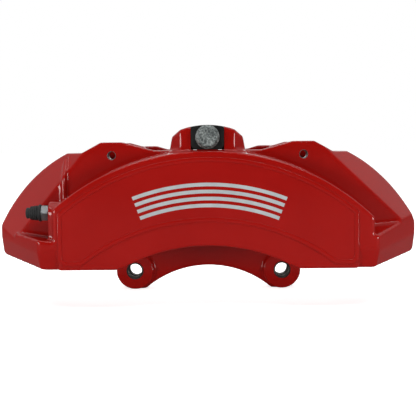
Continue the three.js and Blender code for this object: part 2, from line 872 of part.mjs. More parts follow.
const finish = {
  paint: { color: 0x9a1210, roughness: 0.25, metalness: 0.1 },
  steel: { color: 0x9a9fa2, roughness: 0.45, metalness: 0.9 },
  blackSteel: { color: 0x17181a, roughness: 0.5, metalness: 0.6 },
  zinc: { color: 0x8c9290, roughness: 0.55, metalness: 0.8 },
  plated: { color: 0xa8adb0, roughness: 0.35, metalness: 0.9 },
  anodised: { color: 0xb8babb, roughness: 0.3, metalness: 0.9 },
  rubber: { color: 0x1b1c1d, roughness: 0.8, metalness: 0 },
};

const caliper = new THREE.Group();

function place(name, body, look) {
  const mesh = body.getMesh();
  const geometry = new THREE.BufferGeometry();
  geometry.setAttribute("position", new THREE.BufferAttribute(new Float32Array(mesh.vertProperties), 3));
  geometry.setIndex(new THREE.BufferAttribute(new Uint32Array(mesh.triVerts), 1));
  geometry.computeVertexNormals();
  const piece = new THREE.Mesh(geometry, new THREE.MeshStandardMaterial(finish[look]));
  piece.name = name;
  caliper.add(piece);
}

place("outboard_half", outboardHalf(), "paint");
place("inboard_half", inboardHalf(), "paint");
place("centre_bridge", centreBridge(), "blackSteel");

for (const side of sides) {
  pistons.forEach((piston, i) => {
    const tail = `${side.word}_${i + 1}`;
    place(`piston_${tail}`, pistonSolid(side.sign, piston), "anodised");
    place(`piston_seal_${tail}`, pistonSeal(side.sign, piston), "rubber");
    place(`dust_boot_${tail}`, dustBoot(side.sign, piston), "rubber");
  });
  place(`bridge_bolt_${side.word}`, bridgeBolt(side.sign), "zinc");
  place(`bleed_screw_${side.word}`, bleedScrew(side.sign), "plated");
  place(`bleed_cap_${side.word}`, bleedCap(side.sign), "rubber");
  for (const { hand, plate, screw } of abutments(side.sign)) {
    place(`abutment_plate_${side.word}_${hand}`, plate, "steel");
    place(`abutment_screw_${side.word}_${hand}`, screw, "steel");
  }
}

for (const bolt of bodyBolts) place(bolt.name, bodyBolt(bolt), "zinc");
for (const hole of crossovers) place(`crossover_seal_${hole.word}`, crossoverSeal(hole), "rubber");

// The base is the lowest point of the mounting ears
caliper.position.z = earRadius - earHeight;

export default caliper;
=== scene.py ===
import math
import bmesh
import bpy
from mathutils import Matrix, Vector


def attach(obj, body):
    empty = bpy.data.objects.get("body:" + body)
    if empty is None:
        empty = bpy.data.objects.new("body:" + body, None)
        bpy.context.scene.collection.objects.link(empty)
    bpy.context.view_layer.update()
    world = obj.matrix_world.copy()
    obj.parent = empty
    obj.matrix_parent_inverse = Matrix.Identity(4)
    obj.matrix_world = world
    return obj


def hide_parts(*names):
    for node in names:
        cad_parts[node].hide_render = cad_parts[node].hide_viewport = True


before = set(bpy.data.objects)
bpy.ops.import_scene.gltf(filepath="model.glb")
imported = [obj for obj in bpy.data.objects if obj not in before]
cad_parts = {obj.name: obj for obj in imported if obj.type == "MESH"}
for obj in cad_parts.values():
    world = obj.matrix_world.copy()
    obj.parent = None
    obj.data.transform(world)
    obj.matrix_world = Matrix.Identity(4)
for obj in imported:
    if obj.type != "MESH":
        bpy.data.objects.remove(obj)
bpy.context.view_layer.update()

scene = bpy.context.scene
print("frame loaded:", len(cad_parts), "nodes")

# Shapes are drawn in millimetres with heights from the disc's axle; depths are distances from the disc's middle.
# settle() then moves each one into the frame.
axleBelowBase = 69.8
toFrame = Matrix.Translation((0, 0, -axleBelowBase / 1000)) @ Matrix.Scale(0.001, 4)
gap = 0.3
outboard, inboard = -1, 1
left, right = -1, 1
sideWords = {outboard: "outboard", inboard: "inboard"}
handWords = {left: "left", right: "right"}


# Node trees

class Wire:
    def __init__(self, net, node, name=None):
        self.net = net
        self.node = node
        self.socket = node.outputs[name or 0]

    def out(self, name):
        return Wire(self.net, self.node, name)

    def __add__(self, other):
        return self.net.sum("ADD", self, other)

    def __radd__(self, other):
        return self.net.sum("ADD", other, self)

    def __sub__(self, other):
        return self.net.sum("SUBTRACT", self, other)

    def __rsub__(self, other):
        return self.net.sum("SUBTRACT", other, self)

    def __mul__(self, other):
        return self.net.sum("MULTIPLY", self, other)

    def __rmul__(self, other):
        return self.net.sum("MULTIPLY", other, self)

    def __truediv__(self, other):
        return self.net.sum("DIVIDE", self, other)


class Net:
    def __init__(self, tree):
        self.tree = tree

    # One node: its settings first, then values or wires for its sockets
    def add(self, kind, settings=None, sockets=None, name=None):
        node = self.tree.nodes.new(kind)
        for key, value in (settings or {}).items():
            if key == "stops":
                ramp = node.color_ramp
                while len(ramp.elements) < len(value):
                    ramp.elements.new(0.5)
                for element, (place, shade) in zip(ramp.elements, value):
                    element.position = place
                    element.color = (*shade, 1) if isinstance(shade, tuple) else (shade, shade, shade, 1)
            else:
                setattr(node, key, value)
        for key, value in (sockets or {}).items():
            self.feed(value, node.inputs[key])
        return Wire(self, node, name)

    def feed(self, value, socket):
        if isinstance(value, Wire):
            self.tree.links.new(value.socket, socket)
        else:
            socket.default_value = value

    def sum(self, operation, a, b):
        return self.add("ShaderNodeMath", {"operation": operation}, {0: a, 1: b})

    def ramp(self, wire, stops):
        return self.add("ShaderNodeValToRGB", {"stops": stops}, {"Fac": wire})

    def mix(self, factor, a, b):
        wire = self.add("ShaderNodeMix", {"data_type": "RGBA"}, {0: factor, 6: a, 7: b})
        return Wire(self, wire.node, 2)

    def noise(self, place, scale, detail=3.0, roughness=0.5):
        sockets = {"Vector": place, "Scale": scale, "Detail": detail, "Roughness": roughness}
        return self.add("ShaderNodeTexNoise", None, sockets, "Fac")

    def bump(self, height, strength, distance, normal=None):
        sockets = {"Height": height, "Strength": strength, "Distance": distance}
        if normal:
            sockets["Normal"] = normal
        return self.add("ShaderNodeBump", None, sockets)


def rgb(r, g, b):
    return (r, g, b, 1)


# A material with its shader's plain values set, and a net to draw the rest in
def newMaterial(name, **values):
    material = bpy.data.materials.new(name)
    material.use_nodes = True
    shader = material.node_tree.nodes["Principled BSDF"]
    for key, value in values.items():
        shader.inputs[key.replace("_", " ")].default_value = value
    net = Net(material.node_tree)
    place = net.add("ShaderNodeTexCoord", None, None, "Object")
    return material, net, place, shader.inputs


# Finishes

paintLook = {"deep": rgb(0.30, 0.0030, 0.0014), "lively": rgb(0.35, 0.0050, 0.0030), "roughness": 0.36}


def gloss():
    material, net, place, inputs = newMaterial(
        "glossRed", Metallic=0.0, IOR=1.45, Specular_IOR_Level=0.06,
        Coat_Weight=0.8, Coat_Roughness=0.06, Coat_IOR=1.42,
    )
    cloud = net.noise(place, 14.0, 4.0)
    grain = net.noise(place, 2600.0, 2.0)
    shade = net.ramp(cloud * 0.8 + grain * 0.2, [(0.3, 0.0), (0.7, 1.0)])
    net.feed(net.mix(shade, paintLook["deep"], paintLook["lively"]), inputs["Base Color"])
    net.feed(paintLook["roughness"] + (cloud - 0.5) * 0.12, inputs["Roughness"])
    casting = net.noise(place, 170.0, 4.0, 0.6)
    peel = net.noise(place, 620.0, 2.0)
    skin = net.bump(casting, 0.25, 0.00018)
    net.feed(net.bump(peel, 0.18, 0.00006, skin), inputs["Normal"])
    return material


# Cut aluminium: rings left by the tool, turned about Y, and faint stains
def cutMetal():
    material, net, place, inputs = newMaterial("cutAluminium", Metallic=1.0)
    rings = net.add("ShaderNodeTexWave", {"wave_type": "RINGS", "rings_direction": "Y"},
                    {"Vector": place, "Scale": 260.0, "Distortion": 1.2, "Detail": 2.0}, "Fac")
    stain = net.noise(place, 38.0, 5.0)
    net.feed(net.mix(stain, rgb(0.28, 0.28, 0.285), rgb(0.42, 0.42, 0.415)), inputs["Base Color"])
    net.feed(0.28 + stain * 0.22 + rings * 0.06, inputs["Roughness"])
    net.feed(net.bump(rings, 0.2, 0.00004), inputs["Normal"])
    return material


# Zinc flake: pale grey flakes with darker specks
def flake():
    material, net, place, inputs = newMaterial("zincFlake")
    specks = net.noise(place, 720.0, 3.0, 0.7)
    cloud = net.noise(place, 260.0, 4.0)
    shade = net.ramp(specks * 0.75 + cloud * 0.25,
                     [(0.38, (0.05, 0.058, 0.056)), (0.5, (0.16, 0.18, 0.175)), (0.64, (0.40, 0.43, 0.415))])
    net.feed(shade, inputs["Base Color"])
    net.feed(0.35 + specks * 0.1, inputs["Metallic"])
    net.feed(0.42 + cloud * 0.3, inputs["Roughness"])
    net.feed(net.bump(specks, 0.35, 0.00005), inputs["Normal"])
    return material


def satinBlack():
    material, net, place, inputs = newMaterial("satinBlack", Metallic=0.0, Specular_IOR_Level=0.22, Coat_Weight=0.05)
    orange = net.noise(place, 900.0, 3.0)
    cloud = net.noise(place, 60.0, 4.0)
    net.feed(net.mix(cloud, rgb(0.005, 0.0048, 0.0045), rgb(0.011, 0.0105, 0.010)), inputs["Base Color"])
    net.feed(0.34 + cloud * 0.22, inputs["Roughness"])
    net.feed(net.bump(orange, 0.3, 0.00008), inputs["Normal"])
    return material


def platedSteel():
    material, net, place, inputs = newMaterial("platedSteel", Metallic=0.85)
    drawn = net.noise(net.add("ShaderNodeMapping", None, {"Vector": place, "Scale": (60.0, 1800.0, 1800.0)}), 1.0)
    cloud = net.noise(place, 220.0, 3.0)
    net.feed(net.mix(cloud, rgb(0.14, 0.145, 0.15), rgb(0.26, 0.265, 0.27)), inputs["Base Color"])
    net.feed(0.3 + drawn * 0.2, inputs["Roughness"])
    net.feed(net.bump(drawn, 0.15, 0.00003), inputs["Normal"])
    return material


# Rolled stainless sheet: grain along Z
def sheetSteel():
    material, net, place, inputs = newMaterial("stainlessSheet", Metallic=1.0)
    grain = net.noise(net.add("ShaderNodeMapping", None, {"Vector": place, "Scale": (2500.0, 2500.0, 90.0)}), 1.0)
    cloud = net.noise(place, 45.0, 3.0)
    net.feed(net.mix(cloud, rgb(0.50, 0.50, 0.51), rgb(0.66, 0.66, 0.65)), inputs["Base Color"])
    net.feed(0.22 + grain * 0.2, inputs["Roughness"])
    net.feed(net.bump(grain, 0.12, 0.00003), inputs["Normal"])
    return material


# Hard-anodised pistons: fine turning rings along the skirt
def turnedAlloy():
    material, net, place, inputs = newMaterial("turnedAlloy", Metallic=0.9)
    rings = net.add("ShaderNodeTexWave", {"wave_type": "BANDS", "bands_direction": "Y"},
                    {"Vector": place, "Scale": 520.0, "Distortion": 0.6, "Detail": 1.0}, "Fac")
    cloud = net.noise(place, 80.0, 3.0)
    net.feed(net.mix(cloud, rgb(0.36, 0.35, 0.31), rgb(0.52, 0.51, 0.47)), inputs["Base Color"])
    net.feed(0.26 + rings * 0.1 + cloud * 0.1, inputs["Roughness"])
    net.feed(net.bump(rings, 0.25, 0.00003), inputs["Normal"])
    return material


# Cut threads, oiled and a little dirty
def oiledSteel():
    material, net, place, inputs = newMaterial("oiledSteel", Metallic=0.8)
    dirt = net.noise(place, 300.0, 5.0, 0.65)
    net.feed(net.mix(dirt, rgb(0.045, 0.038, 0.032), rgb(0.16, 0.145, 0.13)), inputs["Base Color"])
    net.feed(0.3 + dirt * 0.35, inputs["Roughness"])
    net.feed(net.bump(dirt, 0.2, 0.00005), inputs["Normal"])
    return material


def rubber(name, low, high):
    material, net, place, inputs = newMaterial(name, Metallic=0.0, Specular_IOR_Level=0.35)
    grain = net.noise(place, 1900.0, 3.0)
    dust = net.noise(place, 120.0, 5.0, 0.65)
    net.feed(net.mix(dust, low, high), inputs["Base Color"])
    net.feed(0.52 + dust * 0.25, inputs["Roughness"])
    net.feed(net.bump(grain, 0.35, 0.00007), inputs["Normal"])
    return material


# Screen-printed ink, a little thin in places
def ink():
    material, net, place, inputs = newMaterial("paleInk", Metallic=0.0, Coat_Weight=0.4, Coat_Roughness=0.1)
    cloud = net.noise(place, 90.0, 4.0)
    grain = net.noise(place, 2400.0, 2.0)
    shade = net.ramp(cloud * 0.5 + grain * 0.5, [(0.35, 0.0), (0.65, 1.0)])
    net.feed(net.mix(shade, rgb(0.40, 0.43, 0.435), rgb(0.50, 0.53, 0.535)), inputs["Base Color"])
    net.feed(0.4 + grain * 0.1, inputs["Roughness"])
    net.feed(net.bump(grain, 0.1, 0.00002), inputs["Normal"])
    return material


redPaint = gloss()
bareMetal = cutMetal()
zinc = flake()
black = satinBlack()
plated = platedSteel()
stainless = sheetSteel()
anodised = turnedAlloy()
oiled = oiledSteel()
capRubber = rubber("capRubber", rgb(0.010, 0.011, 0.011), rgb(0.030, 0.031, 0.031))
sealRubber = rubber("sealRubber", rgb(0.012, 0.012, 0.012), rgb(0.024, 0.022, 0.021))
paleInk = ink()
castFinishes = (redPaint, bareMetal, redPaint)  # as cast, machined, and the panel's own paint
print("finishes made")


# Outlines

def arc(x, z, radius, start, end, spacing=2.2):
    count = max(3, int(abs(math.radians(end - start)) * radius / spacing))
    turns = [math.radians(start + (end - start) * i / count) for i in range(count + 1)]
    return [(x + radius * math.cos(t), z + radius * math.sin(t)) for t in turns]


def flipped(points):
    return [(-x, z) for x, z in reversed(points)]


def handed(points, hand):
    return points if hand > 0 else flipped(points)


# Meshes

def meshPiece(name, verts, faces, tag=0):
    mesh = bpy.data.meshes.new(name)
    build = bmesh.new()
    made = [build.verts.new(v) for v in verts]
    for face in faces:
        build.faces.new([made[i] for i in face]).material_index = tag
    bmesh.ops.remove_doubles(build, verts=build.verts, dist=1e-5)
    bmesh.ops.recalc_face_normals(build, faces=build.faces)
    build.to_mesh(mesh)
    build.free()
    piece = bpy.data.objects.new(name, mesh)
    scene.collection.objects.link(piece)
    for finish in castFinishes:
        mesh.materials.append(finish)
    return piece


# An outline given a thickness: along Y for a front outline, along Z for a plan, along X for a section
def prism(points, low, high, axis="y", tag=0):
    spots = {"y": lambda a, b, c: (a, c, b), "z": lambda a, b, c: (a, b, c), "x": lambda a, b, c: (c, a, b)}
    spot = spots[axis]
    count = len(points)
    verts = [spot(a, b, c) for c in (low, high) for a, b in points]
    walls = [[i, (i + 1) % count, (i + 1) % count + count, i + count] for i in range(count)]
    return meshPiece("prism", verts, [range(count), range(count, 2 * count), *walls], tag)


def block(x0, x1, y0, y1, z0, z1, tag=0):
    return prism([(x0, z0), (x1, z0), (x1, z1), (x0, z1)], y0, y1, "y", tag)


# A turned shape from (radius, along) points. Points on the axis close it; across= trims it to a hexagon.
def turned(profile, axis="y", at=(0, 0, 0), steps=72, across=None, tag=0):
    def reach(radius, turn):
        if not across or not radius:
            return radius
        slack = (math.degrees(turn) % 60) - 30
        return min(radius, across / 2 / math.cos(math.radians(slack)))
    spots = {"y": lambda r, t, c: (r * math.cos(t), c, r * math.sin(t)),
             "x": lambda r, t, c: (c, r * math.cos(t), r * math.sin(t)),
             "z": lambda r, t, c: (r * math.cos(t), r * math.sin(t), c)}
    verts = []
    for step in range(steps):
        turn = 2 * math.pi * step / steps
        for radius, along in profile:
            spot = spots[axis](reach(radius, turn), turn, along)
            verts.append(tuple(a + b for a, b in zip(spot, at)))
    rows = len(profile)
    openEnds = profile[0][0] == 0 and profile[-1][0] == 0
    faces = []
    for step in range(steps):
        after = (step + 1) % steps
        for row in range(rows - 1 if openEnds else rows):
            nextRow = (row + 1) % rows
            corners = [step * rows + row, after * rows + row, after * rows + nextRow, step * rows + nextRow]
            if profile[row][0] == 0:
                corners.pop(1)
            elif profile[nextRow][0] == 0:
                corners.pop(2)
            faces.append(corners)
    return meshPiece("turned", verts, faces, tag)


def rod(radius, at, low, high, axis="y", steps=64, endRadius=None, tag=0):
    last = radius if endRadius is None else endRadius
    return turned([(0, low), (radius, low), (last, high), (0, high)], axis, at, steps, None, tag)


# Applies the piece's modifiers and drops them
def bake(piece):
    view = bpy.context.evaluated_depsgraph_get()
    view.update()
    fresh = bpy.data.meshes.new_from_object(piece.evaluated_get(view), depsgraph=view)
    piece.modifiers.clear()
    piece.data = fresh
    return piece


def combine(piece, tools, operation):
    for tool in tools:
        change = piece.modifiers.new(operation, "BOOLEAN")
        change.operation = operation
        change.solver = "MANIFOLD"
        change.object = tool
    bake(piece)
    for tool in tools:
        bpy.data.objects.remove(tool)
    return piece


def joined(first, *others):
    return combine(first, others, "UNION")


def cutBy(piece, *tools):
    return combine(piece, tools, "DIFFERENCE")


def keptWithin(piece, *tools):
    return combine(piece, tools, "INTERSECT")


# Several meshes as one, without joining their surfaces
def gathered(name, pieces):
    build = bmesh.new()
    for piece in pieces:
        build.from_mesh(piece.data)
    mesh = bpy.data.meshes.new(name)
    build.to_mesh(mesh)
    build.free()
    for finish in pieces[0].data.materials:
        mesh.materials.append(finish)
    for piece in pieces:
        bpy.data.objects.remove(piece)
    whole = bpy.data.objects.new(name, mesh)
    scene.collection.objects.link(whole)
    return whole


# Rounds a casting: an even skin, then softened edges
def cast(piece, voxel=1.1, rounds=8):
    skin = piece.modifiers.new("skin", "REMESH")
    skin.mode = "VOXEL"
    skin.voxel_size = voxel
    soften = piece.modifiers.new("soften", "SMOOTH")
    soften.factor = 0.5
    soften.iterations = rounds
    bake(piece)
    return piece


def bevel(piece, width, segments=3, angle=30):
    edge = piece.modifiers.new("edge", "BEVEL")
    edge.width = width
    edge.segments = segments
    edge.limit_method = "ANGLE"
    edge.angle_limit = math.radians(angle)
    edge.harden_normals = False
    bake(piece)
    return piece


# Smooth shading, sharp where the angle or the finish changes
def shade(piece, angle=35):
    build = bmesh.new()
    build.from_mesh(piece.data)
    limit = math.radians(angle)
    for face in build.faces:
        face.smooth = True
    for edge in build.edges:
        faces = edge.link_faces
        edge.smooth = (len(faces) == 2 and edge.calc_face_angle() < limit
                       and faces[0].material_index == faces[1].material_index)
    build.to_mesh(piece.data)
    build.free()


def settle(piece, name, body, finish=None, replaced=(), angle=35):
    piece.name = piece.data.name = name
    shade(piece, angle)
    piece.data.transform(toFrame)
    piece.data.update()
    if finish:
        piece.data.materials.clear()
        piece.data.materials.append(finish)
        for face in piece.data.polygons:
            face.material_index = 0
    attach(piece, body)
    if replaced:
        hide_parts(*replaced)
    return piece


# Geometry Nodes: a tree with named inputs, run once on a holder and turned into a plain mesh

def newTree(name, inputs):
    tree = bpy.data.node_groups.new(name, "GeometryNodeTree")
    for label, kind in inputs.items():
        tree.interface.new_socket(label, in_out="INPUT", socket_type=kind)
    tree.interface.new_socket("Geometry", in_out="OUTPUT", socket_type="NodeSocketGeometry")
    net = Net(tree)
    return tree, net, net.add("NodeGroupInput")


def finishTree(net, geometry, material):
    whole = net.add("GeometryNodeRealizeInstances", None, {"Geometry": geometry})
    dressed = net.add("GeometryNodeSetMaterial", None, {"Geometry": whole, "Material": material})
    out = net.tree.nodes.new("NodeGroupOutput")
    net.feed(dressed, out.inputs["Geometry"])


def runTree(tree, values, path=None):
    holder = bpy.data.objects.new("holder", path or bpy.data.meshes.new("holder"))
    scene.collection.objects.link(holder)
    nodes = holder.modifiers.new("nodes", "NODES")
    nodes.node_group = tree
    for item in tree.interface.items_tree:
        if item.in_out == "INPUT" and item.name in values:
            nodes[item.identifier] = values[item.name]
    view = bpy.context.evaluated_depsgraph_get()
    mesh = bpy.data.meshes.new_from_object(holder.evaluated_get(view), depsgraph=view)
    bpy.data.objects.remove(holder)
    piece = bpy.data.objects.new("made", mesh)
    scene.collection.objects.link(piece)
    return piece


# A three-sided ridge wound round a bore, as a thread looks from outside
def threadTree():
    tree, net, given = newTree("threadRidge", {
        "Radius": "NodeSocketFloat", "Turns": "NodeSocketFloat", "Length": "NodeSocketFloat",
        "Ridge": "NodeSocketFloat", "Steps": "NodeSocketInt"})
    radius = given.out("Radius")
    helix = net.add("GeometryNodeCurveSpiral", None, {
        "Resolution": given.out("Steps"), "Rotations": given.out("Turns"), "Start Radius": radius,
        "End Radius": radius, "Height": given.out("Length")})
    section = net.add("GeometryNodeCurvePrimitiveCircle", None, {"Resolution": 4, "Radius": given.out("Ridge")})
    ridge = net.add("GeometryNodeCurveToMesh", None, {
        "Curve": helix, "Profile Curve": section, "Fill Caps": True})
    finishTree(net, ridge, bareMetal)
    return tree


# A flat-topped bead with eased edges along a closed path
def beadTree():
    tree, net, given = newTree("panelBead", {
        "Path": "NodeSocketGeometry", "Width": "NodeSocketFloat", "Height": "NodeSocketFloat",
        "Round": "NodeSocketFloat"})
    section = net.add("GeometryNodeCurvePrimitiveQuadrilateral", None, {
        "Width": given.out("Height") * 2.0, "Height": given.out("Width")})
    eased = net.add("GeometryNodeFilletCurve", {"mode": "POLY"}, {
        "Curve": section, "Count": 3, "Radius": given.out("Round")})
    bead = net.add("GeometryNodeCurveToMesh", None, {"Curve": given.out("Path"), "Profile Curve": eased})
    finishTree(net, bead, redPaint)
    return tree


# Rings set along an axis, growing from one end to the other
def ringTree():
    tree, net, given = newTree("capRings", {
        "Count": "NodeSocketInt", "Pitch": "NodeSocketFloat", "First": "NodeSocketFloat",
        "Growth": "NodeSocketFloat", "Thickness": "NodeSocketFloat"})
    line = net.add("GeometryNodeMeshLine", None, {
        "Count": given.out("Count"),
        "Offset": net.add("ShaderNodeCombineXYZ", None, {"Z": given.out("Pitch")})})
    path = net.add("GeometryNodeCurvePrimitiveCircle", None, {"Resolution": 48, "Radius": 1.0})
    section = net.add("GeometryNodeCurvePrimitiveCircle", None, {
        "Resolution": 12, "Radius": given.out("Thickness") / given.out("First")})
    ring = net.add("GeometryNodeCurveToMesh", None, {"Curve": path, "Profile Curve": section})
    size = given.out("First") + net.add("GeometryNodeInputIndex") * given.out("Growth")
    rings = net.add("GeometryNodeInstanceOnPoints", None, {"Points": line, "Instance": ring, "Scale": size})
    finishTree(net, rings, capRubber)
    return tree


# A flat stripe along an arc, with a shallow thickness
def stripeTree():
    tree, net, given = newTree("arcStripe", {
        "Radius": "NodeSocketFloat", "Start": "NodeSocketFloat", "Sweep": "NodeSocketFloat",
        "Width": "NodeSocketFloat", "Thickness": "NodeSocketFloat"})
    path = net.add("GeometryNodeCurveArc", {"mode": "RADIUS"}, {
        "Resolution": 72, "Radius": given.out("Radius"), "Start Angle": given.out("Start"),
        "Sweep Angle": given.out("Sweep")})
    section = net.add("GeometryNodeCurvePrimitiveQuadrilateral", None, {
        "Width": given.out("Width"), "Height": given.out("Thickness")})
    stripe = net.add("GeometryNodeCurveToMesh", None, {
        "Curve": path, "Profile Curve": section, "Fill Caps": True})
    finishTree(net, stripe, paleInk)
    return tree


# The two halves

half = {
    "length": 178, "face": 71, "front": 72, "inner": 36, "outer": 42,
    "disc": 21, "rim": 195, "faceRadius": 192, "faceCentre": 7.5, "faceTop": 199.5,
    "faceLeft": 125, "faceRight": 134, "foot": 103.8,
    "archRadius": 145, "archCentre": -22, "archHalf": 64, "archBlend": 10,
    "window": 104, "shoulder": 198.3, "endRadius": 119, "endX": 68.5, "endZ": 90.5,
    "sweepStart": 137, "sweepDepth": 23,
    "lugX": 80, "lugTop": 207, "lugHalf": 9, "pinDrop": 11, "pinHole": 3.1,
    "bossTop": 220.5, "bossCrown": 65, "bossInner": 28, "bossHalf": 29, "bleedZ": 149.6, "bleedY": 55,
    "backDepth": 60, "backRight": 118, "backSweepStart": 108, "backSweepDepth": 34,
    "earX": 69, "earZ": 87.3, "earRadius": 17.5, "earHole": 7, "earFront": 38, "earThick": 24,
    "web": 91.5, "inletX": 98, "inletZ": 146, "inletDepth": 66, "beyond": 3,
}
# Each end slopes back outside a line between two points and has a ledge, with its heights at both ends
ends = {
    left: {"from": (-121.4, 176.6), "to": (-156.4, 133.3), "slope": 1.0, "ledge": (126, 134.3), "fall": 0},
    right: {"from": (118, 182.5), "to": (163.9, 139.1), "slope": 1.375, "ledge": (134, 140.5), "fall": 5.8},
}
toe = [(131, 103.8), (175.5, 110.8), (178, 113.3)]
pistons = [{"x": -48.0, "radius": 17}, {"x": 0.0, "radius": 18}, {"x": 51.0, "radius": 20}]
for piston in pistons:
    piston["z"] = math.sqrt(160 ** 2 - piston["x"] ** 2)
bridge = {"half": 13.3, "flange": 4.3, "leg": 7, "depth": 61, "web": 3.2, "sole": 200.4, "barSole": 203,
          "top": 219.2, "boltZ": 210.5, "boltRadius": 5, "corner": 4.5}
bodyBolts = [{"hand": hand, "index": i + 1,
              "x": hand * (half["endX"] + 100 * math.cos(math.radians(turn))),
              "z": half["endZ"] + 100 * math.sin(math.radians(turn))}
             for hand in (left, right) for i, turn in enumerate((36, 60))]


def lowerEdge(toLeft, toRight):
    reach = math.degrees(math.acos(half["archHalf"] / half["archRadius"]))
    return [(-toLeft, half["foot"]), (-half["archHalf"] - half["archBlend"], half["foot"]),
            *arc(0, half["archCentre"], half["archRadius"], 180 - reach, reach),
            (half["archHalf"] + half["archBlend"], half["foot"]), (toRight, half["foot"])]


def archBlock(toLeft, toRight):
    start = math.degrees(math.acos(toRight / half["faceRadius"]))
    end = math.degrees(math.acos(-toLeft / half["faceRadius"]))
    return [*lowerEdge(toLeft, toRight), *arc(0, half["faceCentre"], half["faceRadius"], start, end)]


def wallOutline(shelf):
    crest = [(half["window"] + 1, half["shoulder"]), (half["lugX"] + half["lugHalf"], half["lugTop"]),
             (half["lugX"] - half["lugHalf"], half["lugTop"]), *shelf]
    return [*lowerEdge(half["window"] + 1, half["window"] + 1), *crest, *flipped(crest)]


def endOutline(hand):
    low = math.degrees(math.acos((half["length"] - half["endX"]) / half["endRadius"]))
    high = math.degrees(math.asin((half["shoulder"] - half["endZ"]) / half["endRadius"]))
    points = [(half["window"], half["foot"]), *toe, *arc(half["endX"], half["endZ"], half["endRadius"], low, high),
              (half["window"], half["shoulder"])]
    return handed(points, hand)


def sweepPlan(sign, depth, start, end):
    past = -sign * half["beyond"]
    return [(-start, sign * depth), (start, sign * depth), (half["length"], sign * end),
            (half["length"], past), (-half["length"], past), (-half["length"], sign * end)]


lug = {"lip": 4, "flank": 14, "overhang": 5}


def pinLugs(sign):
    x, top, run = half["lugX"], half["lugTop"], half["lugHalf"]
    lip, flank = lug["lip"], lug["flank"]
    crest = [(x + run + 2 * lip, top - lip), (x + run, top), (x - run, top), (x - run - flank, top - lip),
             (x - run - flank, top - flank), (x + run + 2 * lip, top - flank)]
    low, high = sign * (half["inner"] - lug["overhang"]), sign * (half["inner"] + 1)
    return [prism(handed(crest, hand), low, high) for hand in (left, right)]


# A section (u, v) of some length, with u and v laid along two directions and its middle at a place
def bar(section, length, u, v, at):
    piece = prism(section, -length / 2, length / 2, "z")
    turn = Matrix((u, v, u.cross(v))).transposed().to_4x4()
    piece.data.transform(Matrix.Translation(at) @ turn)
    return piece


# What a sloping end loses
def rimWaste(sign, hand, proud=0):
    (x0, z0), (x1, z1), slope = ends[hand]["from"], ends[hand]["to"], ends[hand]["slope"]
    run = Vector((x1 - x0, 0, z1 - z0)).normalized()
    outward = Vector((-hand * run.z, 0, hand * run.x))
    outer = half["outer"] + proud
    section = [(-6 / slope, outer + 6), (30, outer - slope * 30), (30, outer + 6)]
    return bar(section, 140, outward, Vector((0, sign, 0)), ((x0 + x1) / 2, 0, (z0 + z1) / 2))


# The ends run a little past the joint, so that the joint face can be cut clean afterwards
def wallAndEnds(sign, shelf):
    wall = prism(wallOutline(shelf), sign * half["inner"], sign * half["outer"])
    blocks = [prism(endOutline(hand), -sign * half["beyond"], sign * half["outer"]) for hand in (left, right)]
    return cutBy(joined(wall, *blocks), *[rimWaste(sign, hand) for hand in (left, right)])


# Round-topped, with a facet down each side
def bridgeBoss(sign):
    wide, top, base = half["bossHalf"], half["bossTop"], half["faceTop"] - 6
    facet, depth, crown = wide - 7, bridge["depth"], half["bossCrown"]
    lean = math.degrees(math.asin(facet / crown))
    front = prism([(-wide - 3.4, base), (wide + 3.4, base), (wide, top - 9.5),
                   *arc(0, top - crown, crown, 90 - lean, 90 + lean), (-wide, top - 9.5)],
                  sign * half["bossInner"], sign * (depth - 1))
    wedges = [prism([(hand * facet, sign * (depth - 1)), (hand * (facet + 30), sign * (depth - 1)),
                     (hand * (facet + 30), sign * (depth - 31))], half["faceTop"], top + 10, "z")
              for hand in (left, right)]
    return cutBy(front, *wedges)


# A round top on a wall that stands on the foot
def bleedBoss(sign):
    x0, x1, y, wide = -half["faceLeft"] - 5, -half["faceLeft"] + 12, sign * half["bleedY"], 9.5
    return joined(rod(wide, (0, y, half["bleedZ"]), x0, x1, "x"),
                  block(x0, x1, y - wide, y + wide, ends[left]["ledge"][0], half["bleedZ"]))


def bridgeSlot(sign):
    wide, top = bridge["half"] + gap, half["bossTop"] + 10
    slot = block(-wide, wide, sign * (half["bossInner"] - 1), sign * (bridge["depth"] + 1),
                 bridge["sole"] - gap, top)
    tongueHalf = bridge["half"] - bridge["flange"] - gap
    tongue = block(-tongueHalf, tongueHalf, sign * (half["bossInner"] - 2),
                   sign * (bridge["depth"] - bridge["leg"] - gap), bridge["sole"] - 2,
                   bridge["top"] - bridge["web"] - gap)
    relief = block(-wide, wide, sign * (bridge["depth"] - 1), sign * (half["face"] + 3),
                   bridge["boltZ"] - 1.95 * bridge["boltRadius"] - 2, top)
    return [cutBy(slot, tongue), relief]


